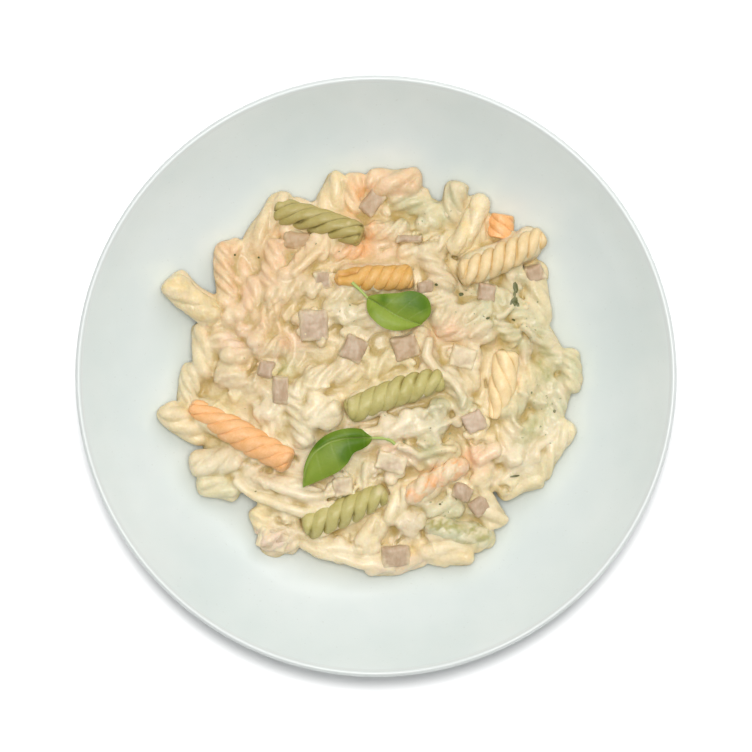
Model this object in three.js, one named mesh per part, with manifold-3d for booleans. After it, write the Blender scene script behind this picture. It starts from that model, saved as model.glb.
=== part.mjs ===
// A coupe bowl of tricolour fusilli in a thick cream sauce, with diced ham and two basil leaves.
// Millimetres, +Z up. The origin is the centre of the ring that the bowl stands on, at table height.
//
// The bowl is one turned piece. The sauced pasta is one solid out to its uneven outline: a low mound
// and the sauce-covered twists that stand out of it. The twists, ham dice and basil leaves that lie
// bare on top are pieces of their own, each in a seat cut for it in the mound.
import * as THREE from "three";
import { mergeVertices } from "three/addons/utils/BufferGeometryUtils.js";
import Module from "manifold-3d";

const wasm = await Module();
wasm.setup();

// ---------------------------------------------------------------- driving dimensions

const GAP = 0.35; // left between pieces that touch

const BOWL = {
  radius: 125,
  height: 52,
  flatRadius: 45, // the floor is level out to here
  floorZ: 8,
  wallPower: 2.1, // the wall's height grows with this power of the distance from the flat floor
  floorThickness: 4.5,
  rimThickness: 3.4,
  lipLean: 0.5, // in radians: how far under the rim its rounding starts
  segments: 48,
  innerSteps: 7,
  outerSteps: 5,
  lipSteps: 3,
};
const FOOT = { outer: 58, inner: 52, height: 3.5, outerFlare: 2, innerFlare: 1.5 };

const MOUND = {
  topZ: 36,
  fall: 11.5, // from the crown to the edge
  edgeRadius: 75,
  fallPower: 2.2,
  ripple: 1.1,
  calmRadius: 12, // the ripple fades out inside this radius
  segments: 32,
};
// How far the mound reaches from the bowl's axis, at equal steps anticlockwise from +X.
const MOUND_REACH = [80, 75, 72, 79, 81, 75, 74, 72, 76, 80, 71, 73, 78, 78, 69, 77];

// A twist's section is three round strands side by side, and its grooves reach down to a share of its radius.
const TWIST = { strands: 3, groove: 0.62, roundness: 0.7, sides: 9, endShrink: 0.82 };
const TWIST_ROOM = { sides: 8, steps: 4 };
const ROLL = { sides: 6, capRings: 2, sink: 1.6 };
const HAM = { chamfer: 0.7, skew: 0.06 };
const LEAF = {
  thickness: 0.7,
  stalkHalfWidth: 0.6,
  cup: 2.2, // how far the edges stand above the midrib
  arch: 2.4, // how far the middle stands above the base
  droop: 1.8, // how far the tip hangs below the base
  lengthSteps: 10,
  widthSteps: 2,
};

// ---------------------------------------------------------------- where the pieces lie

// Bare twists: [name, x, y, heading in degrees, length, radius, lead of the helix, sideways bow, lift].
const TWISTS = [
  ["fusillo_green_1", -23.5, 65.5, -17, 39, 5.6, 36, -1.0, 2.2],
  ["fusillo_green_2", 7.5, -6.5, 20, 43, 5.6, 22, -1.0, 2.6],
  ["fusillo_green_3", -12.5, -57, 24, 38, 5.7, 21, 0.8, 1.8],
  ["fusillo_green_4", 34.5, -65, -14, 29, 5.3, 24, 0, 0.8],
  ["fusillo_orange_1", -57, -25, -30, 49, 5.7, 21, 0.8, 3.0],
  ["fusillo_orange_2", -1, 41, 2, 33, 5.6, 20, 0, 1.4],
  ["fusillo_orange_3", 52.5, 63, 82, 10, 4.8, 18, 0, 0.6],
  ["fusillo_orange_4", 24, -43, 31, 31, 5.2, 20, -1.0, -0.2],
  ["fusillo_yellow_1", 53.5, 48.8, 25.5, 40, 5.7, 22, 1.3, 3.2],
  ["fusillo_yellow_2", 53, -4, 79, 29, 5.3, 26, 0.8, 1.6],
  ["fusillo_yellow_3", -77.5, 31.5, -37, 28, 5.6, 22, 0.6, 0.6],
  ["fusillo_yellow_4", 40, 62.5, 62, 29, 5.3, 24, 0.6, 1.4],
];

// Ham dice: [x, y, turn in degrees, width, depth, height, lift, lean in degrees].
const HAM_DICE = [
  [-33, 57.3, 0, 11, 7, 6, 0.6, 6],
  [-2.5, 73.5, 58, 10, 7, 6.5, 0.6, 10],
  [-22.5, 41, 12, 6.5, 6.5, 6, 0.4, 12],
  [-26, 21.5, 8, 11, 12, 7, 0.4, 5],
  [-10, 11.5, 70, 9.5, 9, 7, 0.5, 8],
  [12, 12.5, 20, 10, 9.5, 7, 0.4, 6],
  [46.5, 35.6, -4, 7.2, 6.8, 7, 0.8, 5],
  [66.5, 44, 28, 6.8, 6.5, 6.5, 1.4, 12],
  [40.5, -18.3, 30, 8.2, 8.2, 7, 2.2, 8],
  [36.5, 8.5, -10, 9.5, 8.5, 7, 0.2, 8],
  [-46.5, 3, 80, 6.5, 6, 6, 0.4, 6],
  [-40.5, -6, 92, 11, 6.5, 6.5, 0.6, 9],
  [6.5, -35.5, -12, 12, 7.5, 6.5, 0.4, 6],
  [-14, -45.5, 15, 7.5, 7, 6.5, 0.8, 10],
  [36.3, -48, -18, 7.5, 6, 6.5, 0.6, 9],
  [43, -54, 40, 7, 7, 6.5, 0.8, 7],
  [8, -75, 10, 11, 8.5, 7, 0.8, 8],
  [-43, -68, -12, 12, 8, 7, 1.0, 8],
  [14, 57.5, 6, 10, 3.5, 6, 0.8, 0],
  [32.5, 69, 62, 6.5, 6.5, 6, 1.0, 6],
  [20.5, 37.3, 14, 6, 5, 6, 0.4, 5],
];

// Basil leaves: [name, stalk's end, bend and tip of the midrib, the stalk's share of it, half width, height].
const LEAVES = [
  ["basil_leaf_1", [-10, 39], [1, 27], [22.5, 25], 0.22, 8.7, 40.6],
  ["basil_leaf_2", [8, -28.5], [-10.8, -17.5], [-30.5, -46.5], 0.22, 7.6, 38.2],
];

// Sauce-covered twists that stand out of the mound: [x, y, heading in degrees, length, radius].
const COATED = [
  // the left side, from the top down
  [-46, 64, 59, 31, 5.0],
  [-61, 52, 20, 12, 5.0],
  [-62.5, 43, 97, 26, 5.4],
  [-52, 34, 78, 16, 4.8],
  [-59, 25.5, 40, 15, 4.4],
  [-72, 11, 92, 24, 5.6],
  [-61, 12, -35, 20, 5.6],
  [-78, -4, 76, 19, 5.0],
  [-81, -20, -36, 24, 5.6],
  [-67, -36, 4, 23, 6.2],
  [-66, -46.5, -14, 18, 5.0],
  // along the bottom
  [-38, -46, -17, 38, 5.0],
  [-34, -54, -14, 32, 4.8],
  [-48, -60, -75, 12, 5.2],
  [-41, -69, -10, 17, 5.6],
  [-13, -74, -15, 36, 5.6],
  [8, -78, 12, 26, 5.4],
  [28.5, -74, -8, 25, 5.4],
  [41, -69, 8, 18, 5.2],
  [47, -56, -60, 18, 5.6],
  // the right side, from the bottom up
  [60, -45, 18, 20, 5.0],
  [61, -33, 20, 17, 7.2],
  [74, -31, 56, 28, 5.4],
  [75, -12, 76, 24, 5.4],
  [81.5, 2.5, 97, 19, 5.2],
  [71, 14, -58, 26, 5.4],
  [67.5, 33, 98, 26, 5.2],
  // along the top
  [33, 73, 80, 18, 5.2],
  [17, 72, -24, 26, 5.6],
  [7, 81, 2, 24, 6.6],
  [-9, 77, 80, 18, 5.0],
  [-18, 76.5, 68, 19, 5.0],
  // across the crown
  [-43, 47, 84, 22, 5.8],
  [-34, 36, 12, 28, 5.6],
  [25, 44, -58, 24, 5.6],
  [36, 25, 8, 28, 5.8],
  [61, -6, 60, 26, 5.8],
  [16, -21, 8, 32, 5.8],
  [-23, -15, 14, 18, 6.2],
  [-32, -17, -74, 28, 5.4],
  [-57, -2, -14, 22, 5.6],
  [-1, 24, -12, 18, 5.6],
];

// ---------------------------------------------------------------- heights and outlines

/** Height of the bowl's inner face at radius r. */
function bowlZ(r) {
  const { radius, height, flatRadius, floorZ, wallPower } = BOWL;
  const share = Math.max(0, r - flatRadius) / (radius - flatRadius);
  return floorZ + (height - floorZ) * share ** wallPower;
}

/** Height of the mound's smooth top at radius r. */
function moundZ(r) {
  return MOUND.topZ - MOUND.fall * (r / MOUND.edgeRadius) ** MOUND.fallPower;
}

/** How far the mound reaches in the direction angle, smoothly through MOUND_REACH. */
function moundReach(angle) {
  const n = MOUND_REACH.length;
  const place = THREE.MathUtils.euclideanModulo(angle / (2 * Math.PI), 1) * n;
  const i = Math.floor(place);
  const t = THREE.MathUtils.smoothstep(place - i, 0, 1);
  return THREE.MathUtils.lerp(MOUND_REACH[i % n], MOUND_REACH[(i + 1) % n], t);
}

/** Lowest height at which a ball of this radius clears the bowl's inner face at radius r. */
function wallClearZ(r, radius) {
  const reach = radius + GAP;
  let lowest = 0;
  for (let s = 0; s < reach; s += reach / 8) {
    lowest = Math.max(lowest, bowlZ(r + s) + Math.sqrt(reach ** 2 - s ** 2));
  }
  return lowest;
}

/** Height at which a round piece of this radius has its axis when it lies at x, y. */
function seatZ(x, y, radius, lift) {
  const r = Math.hypot(x, y);
  return Math.max(moundZ(r) + lift, wallClearZ(r, radius));
}

// ---------------------------------------------------------------- solids and geometries

/** A closed geometry as a manifold-3d solid, placed by a matrix. */
function toSolid(geometry, matrix = new THREE.Matrix4()) {
  const bare = geometry.clone().applyMatrix4(matrix);
  bare.deleteAttribute("normal");
  bare.deleteAttribute("uv");
  const merged = mergeVertices(bare, 1e-4);
  return new wasm.Manifold(
    new wasm.Mesh({
      numProp: 3,
      vertProperties: merged.attributes.position.array,
      triVerts: new Uint32Array(merged.index.array),
    }),
  );
}

/** A solid's largest body as a three.js geometry. */
function toGeometry(solid) {
  const body = solid.decompose().sort((a, b) => b.volume() - a.volume())[0];
  const mesh = body.getMesh();
  const geometry = new THREE.BufferGeometry()
    .setAttribute("position", new THREE.BufferAttribute(mesh.vertProperties, 3))
    .setIndex(new THREE.BufferAttribute(mesh.triVerts, 1));
  geometry.computeVertexNormals();
  return geometry;
}

/** Moves each vertex of a geometry by a function that changes the vector it is given. */
function reshape(geometry, change) {
  const position = geometry.getAttribute("position");
  const v = new THREE.Vector3();
  for (let i = 0; i < position.count; i++) {
    change(v.fromBufferAttribute(position, i));
    position.setXYZ(i, v.x, v.y, v.z);
  }
  return geometry;
}

/** A profile of [radius, height] pairs turned about +Z. */
function turned(profile, segments) {
  const points = profile.map(([r, z]) => new THREE.Vector2(r, z));
  return new THREE.LatheGeometry(points, segments).rotateX(Math.PI / 2);
}

// ---------------------------------------------------------------- the bowl

/** Points on the inner face, or a little above it, between two radii. */
function innerFace(from, to, lift = 0) {
  const points = [];
  for (let i = 0; i <= BOWL.innerSteps; i++) {
    const r = THREE.MathUtils.lerp(from, to, i / BOWL.innerSteps);
    points.push([r, bowlZ(r) + lift]);
  }
  return points;
}

function bowlGeometry() {
  const { radius, height, flatRadius, floorZ, floorThickness, rimThickness, outerSteps, lipSteps } = BOWL;
  const lip = rimThickness / 2;
  const wallStart = FOOT.outer + FOOT.outerFlare;
  const profile = [
    [0, FOOT.height],
    [FOOT.inner - FOOT.innerFlare, FOOT.height],
    [FOOT.inner, 0],
    [FOOT.outer, 0],
    [wallStart, FOOT.height],
  ];
  for (let i = 1; i < outerSteps; i++) {
    const share = i / outerSteps;
    const thickness = THREE.MathUtils.lerp(floorThickness, rimThickness, share);
    const r = THREE.MathUtils.lerp(wallStart, radius, share);
    profile.push([r, bowlZ(r - 0.6 * thickness * share) - thickness]);
  }
  for (let i = 0; i <= lipSteps; i++) {
    const angle = (Math.PI * i) / lipSteps - BOWL.lipLean;
    profile.push([radius - lip + lip * Math.cos(angle), height - lip + lip * Math.sin(angle)]);
  }
  profile.push(...innerFace(flatRadius, radius - 2.15 * lip).reverse());
  profile.push([0, floorZ]);
  return turned(profile, BOWL.segments);
}

/** The space inside the bowl, kept clear of its inner face by the gap. */
function cavitySolid() {
  const rim = BOWL.radius - BOWL.rimThickness;
  const profile = [
    [0, BOWL.floorZ + GAP],
    ...innerFace(BOWL.flatRadius, rim, GAP),
    [rim, BOWL.height],
    [0, BOWL.height],
  ];
  return toSolid(turned(profile, BOWL.segments / 2));
}

// ---------------------------------------------------------------- pasta, ham and basil

/** Radius of a section of three round strands side by side, as a share of the outer radius. */
function strandShare(angle) {
  const wave = Math.abs(Math.sin((TWIST.strands * angle) / 2));
  return TWIST.groove + (1 - TWIST.groove) * wave ** TWIST.roundness;
}

/** Turns a geometry over in Y, with its faces still pointing out. */
function mirrorY(geometry) {
  const { array } = geometry.index;
  for (let i = 0; i < array.length; i += 3) {
    [array[i], array[i + 1]] = [array[i + 1], array[i]];
  }
  return geometry.scale(1, -1, 1);
}

/** A left-handed twist along +X, bowed sideways in a shallow arc. Each step turns it by one of its sides. */
function twistGeometry({ length, radius, lead, bow }) {
  const steps = Math.round((length * TWIST.sides) / lead);
  const turnPerLength = (2 * Math.PI * steps) / (TWIST.sides * length);
  const blank = new THREE.CylinderGeometry(radius, radius, length, TWIST.sides, steps);
  reshape(blank.rotateZ(-Math.PI / 2), (v) => {
    const angle = Math.atan2(v.z, v.y) - Math.PI / 2 - turnPerLength * (v.x + length / 2);
    const endShare = Math.abs(v.x) / (length / 2);
    const size = strandShare(angle) * (endShare > 0.99 ? TWIST.endShrink : 1);
    v.set(v.x, v.y * size - bow * (1 - endShare ** 2), v.z * size);
  });
  return mirrorY(blank);
}

/** The plain round space that a twist needs in the mound. */
function twistRoom({ length, radius, bow }) {
  const size = radius + 2 * GAP;
  const blank = new THREE.CylinderGeometry(size, size, length + 3 * GAP, TWIST_ROOM.sides, TWIST_ROOM.steps);
  return reshape(blank.rotateZ(-Math.PI / 2), (v) => {
    v.y += bow * (1 - (Math.abs(v.x) / (length / 2)) ** 2);
  });
}

/** Where a twist lies: its ends and its middle all clear what is under them. */
function twistPlace({ x, y, heading, length, radius, lift }) {
  const turn = THREE.MathUtils.degToRad(heading);
  const zAt = (s) => seatZ(x + s * Math.cos(turn), y + s * Math.sin(turn), radius, lift);
  const half = length / 2;
  const ends = [zAt(-half), zAt(half)];
  const middle = (ends[0] + ends[1]) / 2;
  const tilt = -Math.atan2(ends[1] - ends[0], length);
  return { position: [x, y, Math.max(middle, zAt(0))], rotation: [0, tilt, turn] };
}

/** A ham die with slightly uneven sides and softened edges, standing on its base's centre. */
function hamGeometry(width, depth, height) {
  const { chamfer } = HAM;
  const skew = HAM.skew * width;
  const x = width / 2 - chamfer;
  const y = depth / 2 - chamfer;
  const outline = new THREE.Shape([
    new THREE.Vector2(-x, -y + skew),
    new THREE.Vector2(x - skew, -y),
    new THREE.Vector2(x, y - skew),
    new THREE.Vector2(-x + skew, y),
  ]);
  const die = new THREE.ExtrudeGeometry(outline, {
    depth: height - 2 * chamfer,
    bevelSize: chamfer,
    bevelThickness: chamfer,
    bevelSegments: 1,
  });
  return die.translate(0, 0, chamfer);
}

/** A basil leaf about a curved midrib: a thin blade, cupped across and arched along its length. */
function leafGeometry([, start, bend, tip, stalk, halfWidth, height], extra = 0) {
  const points = [start, bend, tip].map(([x, y]) => new THREE.Vector2(x, y));
  const midrib = new THREE.QuadraticBezierCurve(...points);
  const sheet = new THREE.BoxGeometry(1, 2, 1, LEAF.lengthSteps, LEAF.widthSteps, 1);
  return reshape(sheet, (v) => {
    const along = v.x + 0.5;
    const share = THREE.MathUtils.clamp((along - stalk) / (1 - stalk), 0, 1);
    const bladeHalfWidth = halfWidth * Math.sin(Math.PI * share ** 0.85) ** 0.72;
    const across = v.y * (LEAF.stalkHalfWidth + bladeHalfWidth + extra);
    const point = midrib.getPoint(along);
    const direction = midrib.getTangent(along);
    const cup = LEAF.cup * (across / halfWidth) ** 2;
    const arch = LEAF.arch * Math.sin(Math.PI * share) - LEAF.droop * share ** 2;
    const z = height + arch + cup + v.z * (LEAF.thickness + 2 * extra);
    v.set(point.x - across * direction.y, point.y + across * direction.x, z);
  });
}

// ---------------------------------------------------------------- the mound

/** A slow unevenness of the mound's top. */
function ripple(r, angle) {
  const calm = Math.min(1, r / MOUND.calmRadius);
  return MOUND.ripple * calm * Math.sin(r / 7 + 2 * angle) * Math.cos(3 * angle - r / 11);
}

/** The low mound itself: a turned blank of unit size, stretched to each direction's reach and height. */
function moundSolid() {
  const edge = [[0, 0], [1, 0], [1, 0.55], [0.97, 0.8], [0.9, 0.95]];
  const top = [[0.78, 1], [0.6, 1], [0.4, 1], [0.2, 1], [0, 1]];
  const blank = turned([...edge, ...top], MOUND.segments);
  reshape(blank, (v) => {
    const angle = Math.atan2(v.y, v.x);
    const r = Math.hypot(v.x, v.y) * moundReach(angle);
    v.set(r * Math.cos(angle), r * Math.sin(angle), v.z * (moundZ(r) + ripple(r, angle)));
  });
  return toSolid(blank);
}

/** One sauce-covered twist, as the smooth roll that the sauce makes of it. */
function coatedSolid([x, y, heading, length, radius]) {
  const place = twistPlace({ x, y, heading, length, radius, lift: -ROLL.sink });
  const roll = new THREE.CapsuleGeometry(radius, length - 2 * radius, ROLL.capRings, ROLL.sides);
  return toSolid(roll.rotateZ(-Math.PI / 2), matrixOf(place));
}

function matrixOf({ position, rotation }) {
  const object = new THREE.Object3D();
  object.position.set(...position);
  object.rotation.set(...rotation, "ZYX");
  object.updateMatrix();
  return object.matrix;
}

// ---------------------------------------------------------------- assembly

const LOOKS = {
  porcelain: { color: "#e3eae7", roughness: 0.2 },
  sauce: { color: "#ead9b0", roughness: 0.45 },
  green: { color: "#b9b56a", roughness: 0.45 },
  orange: { color: "#efa966", roughness: 0.45 },
  yellow: { color: "#efd29a", roughness: 0.45 },
  ham: { color: "#cba896", roughness: 0.55 },
  basil: { color: "#6f9a2c", roughness: 0.5 },
};

const bowlOfPasta = new THREE.Group();
const rooms = []; // the space that each bare piece needs in the heap

function addPiece(name, geometry, look, place = { position: [0, 0, 0], rotation: [0, 0, 0] }) {
  const mesh = new THREE.Mesh(geometry, new THREE.MeshStandardMaterial({ ...LOOKS[look], metalness: 0 }));
  mesh.name = name;
  mesh.position.set(...place.position);
  mesh.rotation.set(...place.rotation, "ZYX");
  bowlOfPasta.add(mesh);
}

function addTwists() {
  for (const [name, x, y, heading, length, radius, lead, bow, lift] of TWISTS) {
    const place = twistPlace({ x, y, heading, length, radius, lift });
    const look = name.split("_")[1];
    addPiece(name, twistGeometry({ length, radius, lead, bow }), look, place);
    rooms.push(toSolid(twistRoom({ length, radius, bow }), matrixOf(place)));
  }
}

function addHam() {
  HAM_DICE.forEach(([x, y, turn, width, depth, height, lift, lean], i) => {
    const base = seatZ(x, y, Math.hypot(depth, height) / 2, lift) - height / 2;
    const rotation = [THREE.MathUtils.degToRad(lean), 0, THREE.MathUtils.degToRad(turn)];
    const place = { position: [x, y, base], rotation };
    const name = `ham_${String(i + 1).padStart(2, "0")}`;
    addPiece(name, hamGeometry(width, depth, height), "ham", place);
    const room = new THREE.BoxGeometry(width + 3 * GAP, depth + 3 * GAP, height + 3 * GAP);
    rooms.push(toSolid(room.translate(0, 0, height / 2), matrixOf(place)));
  });
}

function addBasil() {
  for (const row of LEAVES) {
    addPiece(row[0], leafGeometry(row), "basil");
    rooms.push(toSolid(leafGeometry(row, GAP)));
  }
}

function addHeap() {
  const rolls = COATED.map(coatedSolid);
  const whole = rolls.reduce((sum, roll) => sum.add(roll), moundSolid());
  const inBowl = whole.intersect(cavitySolid());
  const cut = rooms.reduce((rest, room) => rest.subtract(room), inBowl);
  addPiece("pasta_heap", toGeometry(cut), "sauce");
}

addPiece("bowl", bowlGeometry(), "porcelain");
addTwists();
addHam();
addBasil();
addHeap();

export default bowlOfPasta;
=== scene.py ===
import math
import random
from contextlib import contextmanager

import bmesh
import bpy
import numpy as np
from bpy.props import FloatProperty, FloatVectorProperty, IntProperty, PointerProperty
from mathutils import Matrix, Vector
from mathutils.bvhtree import BVHTree


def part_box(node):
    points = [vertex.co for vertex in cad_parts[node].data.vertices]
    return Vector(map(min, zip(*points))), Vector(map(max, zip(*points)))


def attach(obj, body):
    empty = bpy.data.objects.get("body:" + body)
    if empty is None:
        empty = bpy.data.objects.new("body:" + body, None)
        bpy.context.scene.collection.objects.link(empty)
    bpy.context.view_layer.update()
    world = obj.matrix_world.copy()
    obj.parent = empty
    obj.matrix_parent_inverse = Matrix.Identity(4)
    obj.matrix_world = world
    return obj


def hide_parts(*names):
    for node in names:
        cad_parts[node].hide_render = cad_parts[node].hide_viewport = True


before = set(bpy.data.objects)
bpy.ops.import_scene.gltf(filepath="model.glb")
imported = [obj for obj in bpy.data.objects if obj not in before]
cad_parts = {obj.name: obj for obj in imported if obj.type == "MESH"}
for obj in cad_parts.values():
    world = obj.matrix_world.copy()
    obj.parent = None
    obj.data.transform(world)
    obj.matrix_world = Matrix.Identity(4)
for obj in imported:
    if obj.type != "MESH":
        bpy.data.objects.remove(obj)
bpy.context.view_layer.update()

bl_info = {
    "name": "Bowl of Creamy Fusilli",
    "version": (1, 0, 0),
    "blender": (4, 5, 0),
    "location": "3D View > Sidebar > Fusilli Bowl",
    "description": "Makes a coupe bowl, its heap of sauced fusilli, the bare twists, ham, basil and herbs",
    "category": "Object",
}

MM = 0.001
UP = Vector((0, 0, 1))
MERGED = 2e-5  # points closer than this, in metres, are one point
RIM_HEIGHT = 0.052  # of the bowl, in metres
ABOVE_ALL = 80  # a height over every piece, in millimetres
HEAP_TRIANGLES = 190000

# The bowl's inner face and the mound of food, in millimetres. The wall rises from the flat floor as a power of the
# distance from its edge, and the mound falls from its top as a power of the distance from the axis.
FLOOR = {"height": 8, "radius": 45}
WALL = {"rise": 44, "run": 80, "power": 2.1}
MOUND = {"top": 36, "fall": 11.5, "radius": 75, "power": 2.2}
RESTING_GAP = 0.35

# ---------------------------------------------------------------- where the food lies, in millimetres

# Pasta that shows through the sauce: colour in linear light for each kind of dough.
# The tan is painted shade, and the milk is thick white sauce with painted light.
DOUGH = {
    "plain": (0.80, 0.66, 0.41),
    "yellow": (0.84, 0.66, 0.34),
    "peach": (0.86, 0.56, 0.35),
    "orange": (0.88, 0.45, 0.18),
    "green": (0.60, 0.58, 0.35),
    "pink": (0.76, 0.57, 0.45),
    "sage": (0.62, 0.61, 0.39),
    "leaf": (0.40, 0.39, 0.14),
    "tan_shade": (0.62, 0.45, 0.20),
    "milk_and_light": (0.91, 0.81, 0.60),
    "moss": (0.37, 0.345, 0.085),
}

# Bare twists: [node, dough, strands, radius, lead of the helix, bow, roll in degrees, thin sauce, width at each end,
# where the grooves lie open: the side (1 left, -1 right, 0 nowhere) and from where to where along the twist,
# and how far the other grooves are filled].
BARE_TWISTS = [
    ["fusillo_green_1", "olive", 5, 5.8, 36, -1.0, 20, 0.02, (1.0, 0.86), (-1, -0.25, 0.5), 0.52],
    ["fusillo_green_2", "green", 3, 6.1, 18.5, -1.0, 70, 0.00, (0.85, 0.85), (1, 0.0, 0.5), 0.60],
    ["fusillo_green_3", "green", 3, 6.2, 19.5, 0.8, 0, -0.02, (1.0, 0.75), (-1, -0.5, 0.5), 0.68],
    ["fusillo_orange_1", "orange", 4, 6.2, 28, 0.8, 10, -0.05, (0.62, 0.88), (0, 0, 0), 0.45],
    ["fusillo_orange_2", "ochre", 3, 5.5, 15, 0.0, 75, 0.04, (0.72, 1.0), (0, 0, 0), 0.50],
    ["fusillo_orange_3", "orange", 3, 5.6, 13, 0.0, 60, 0.16, (0.90, 0.86), (0, 0, 0), 0.50],
    ["fusillo_yellow_1", "yellow", 3, 6.3, 17.5, 1.3, 30, 0.04, (0.92, 0.74), (0, 0, 0), 0.05],
    ["fusillo_yellow_2", "straw", 4, 5.9, 38, 0.8, 0, 0.00, (0.42, 0.95), (0, 0, 0), 0.35],
]

# Twists of their own that the sauce covers almost all over:
# [node, dough, dough of the flecks that show through, radius, lead, bow, roll, dough shown].
SMOOTHED_TWISTS = [
    ["fusillo_green_4", "sage", "sage", 5.4, 30, 0.0, 60, 0.70],
    ["fusillo_orange_4", "peach", "orange", 4.9, 20, -1.0, 80, 0.45],
    ["fusillo_yellow_3", "yellow", "yellow", 6.2, 46, 0.8, 50, 0.75],
    ["fusillo_yellow_4", "yellow", "plain", 4.8, 50, 3.2, 20, 0.60],
]

# Twists whose strands part at the left end, and twists that lie deep in the sauce.
PARTED_TWISTS = ("fusillo_orange_2",)
SUNK_TWISTS = ("fusillo_green_4", "fusillo_orange_4")

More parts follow.
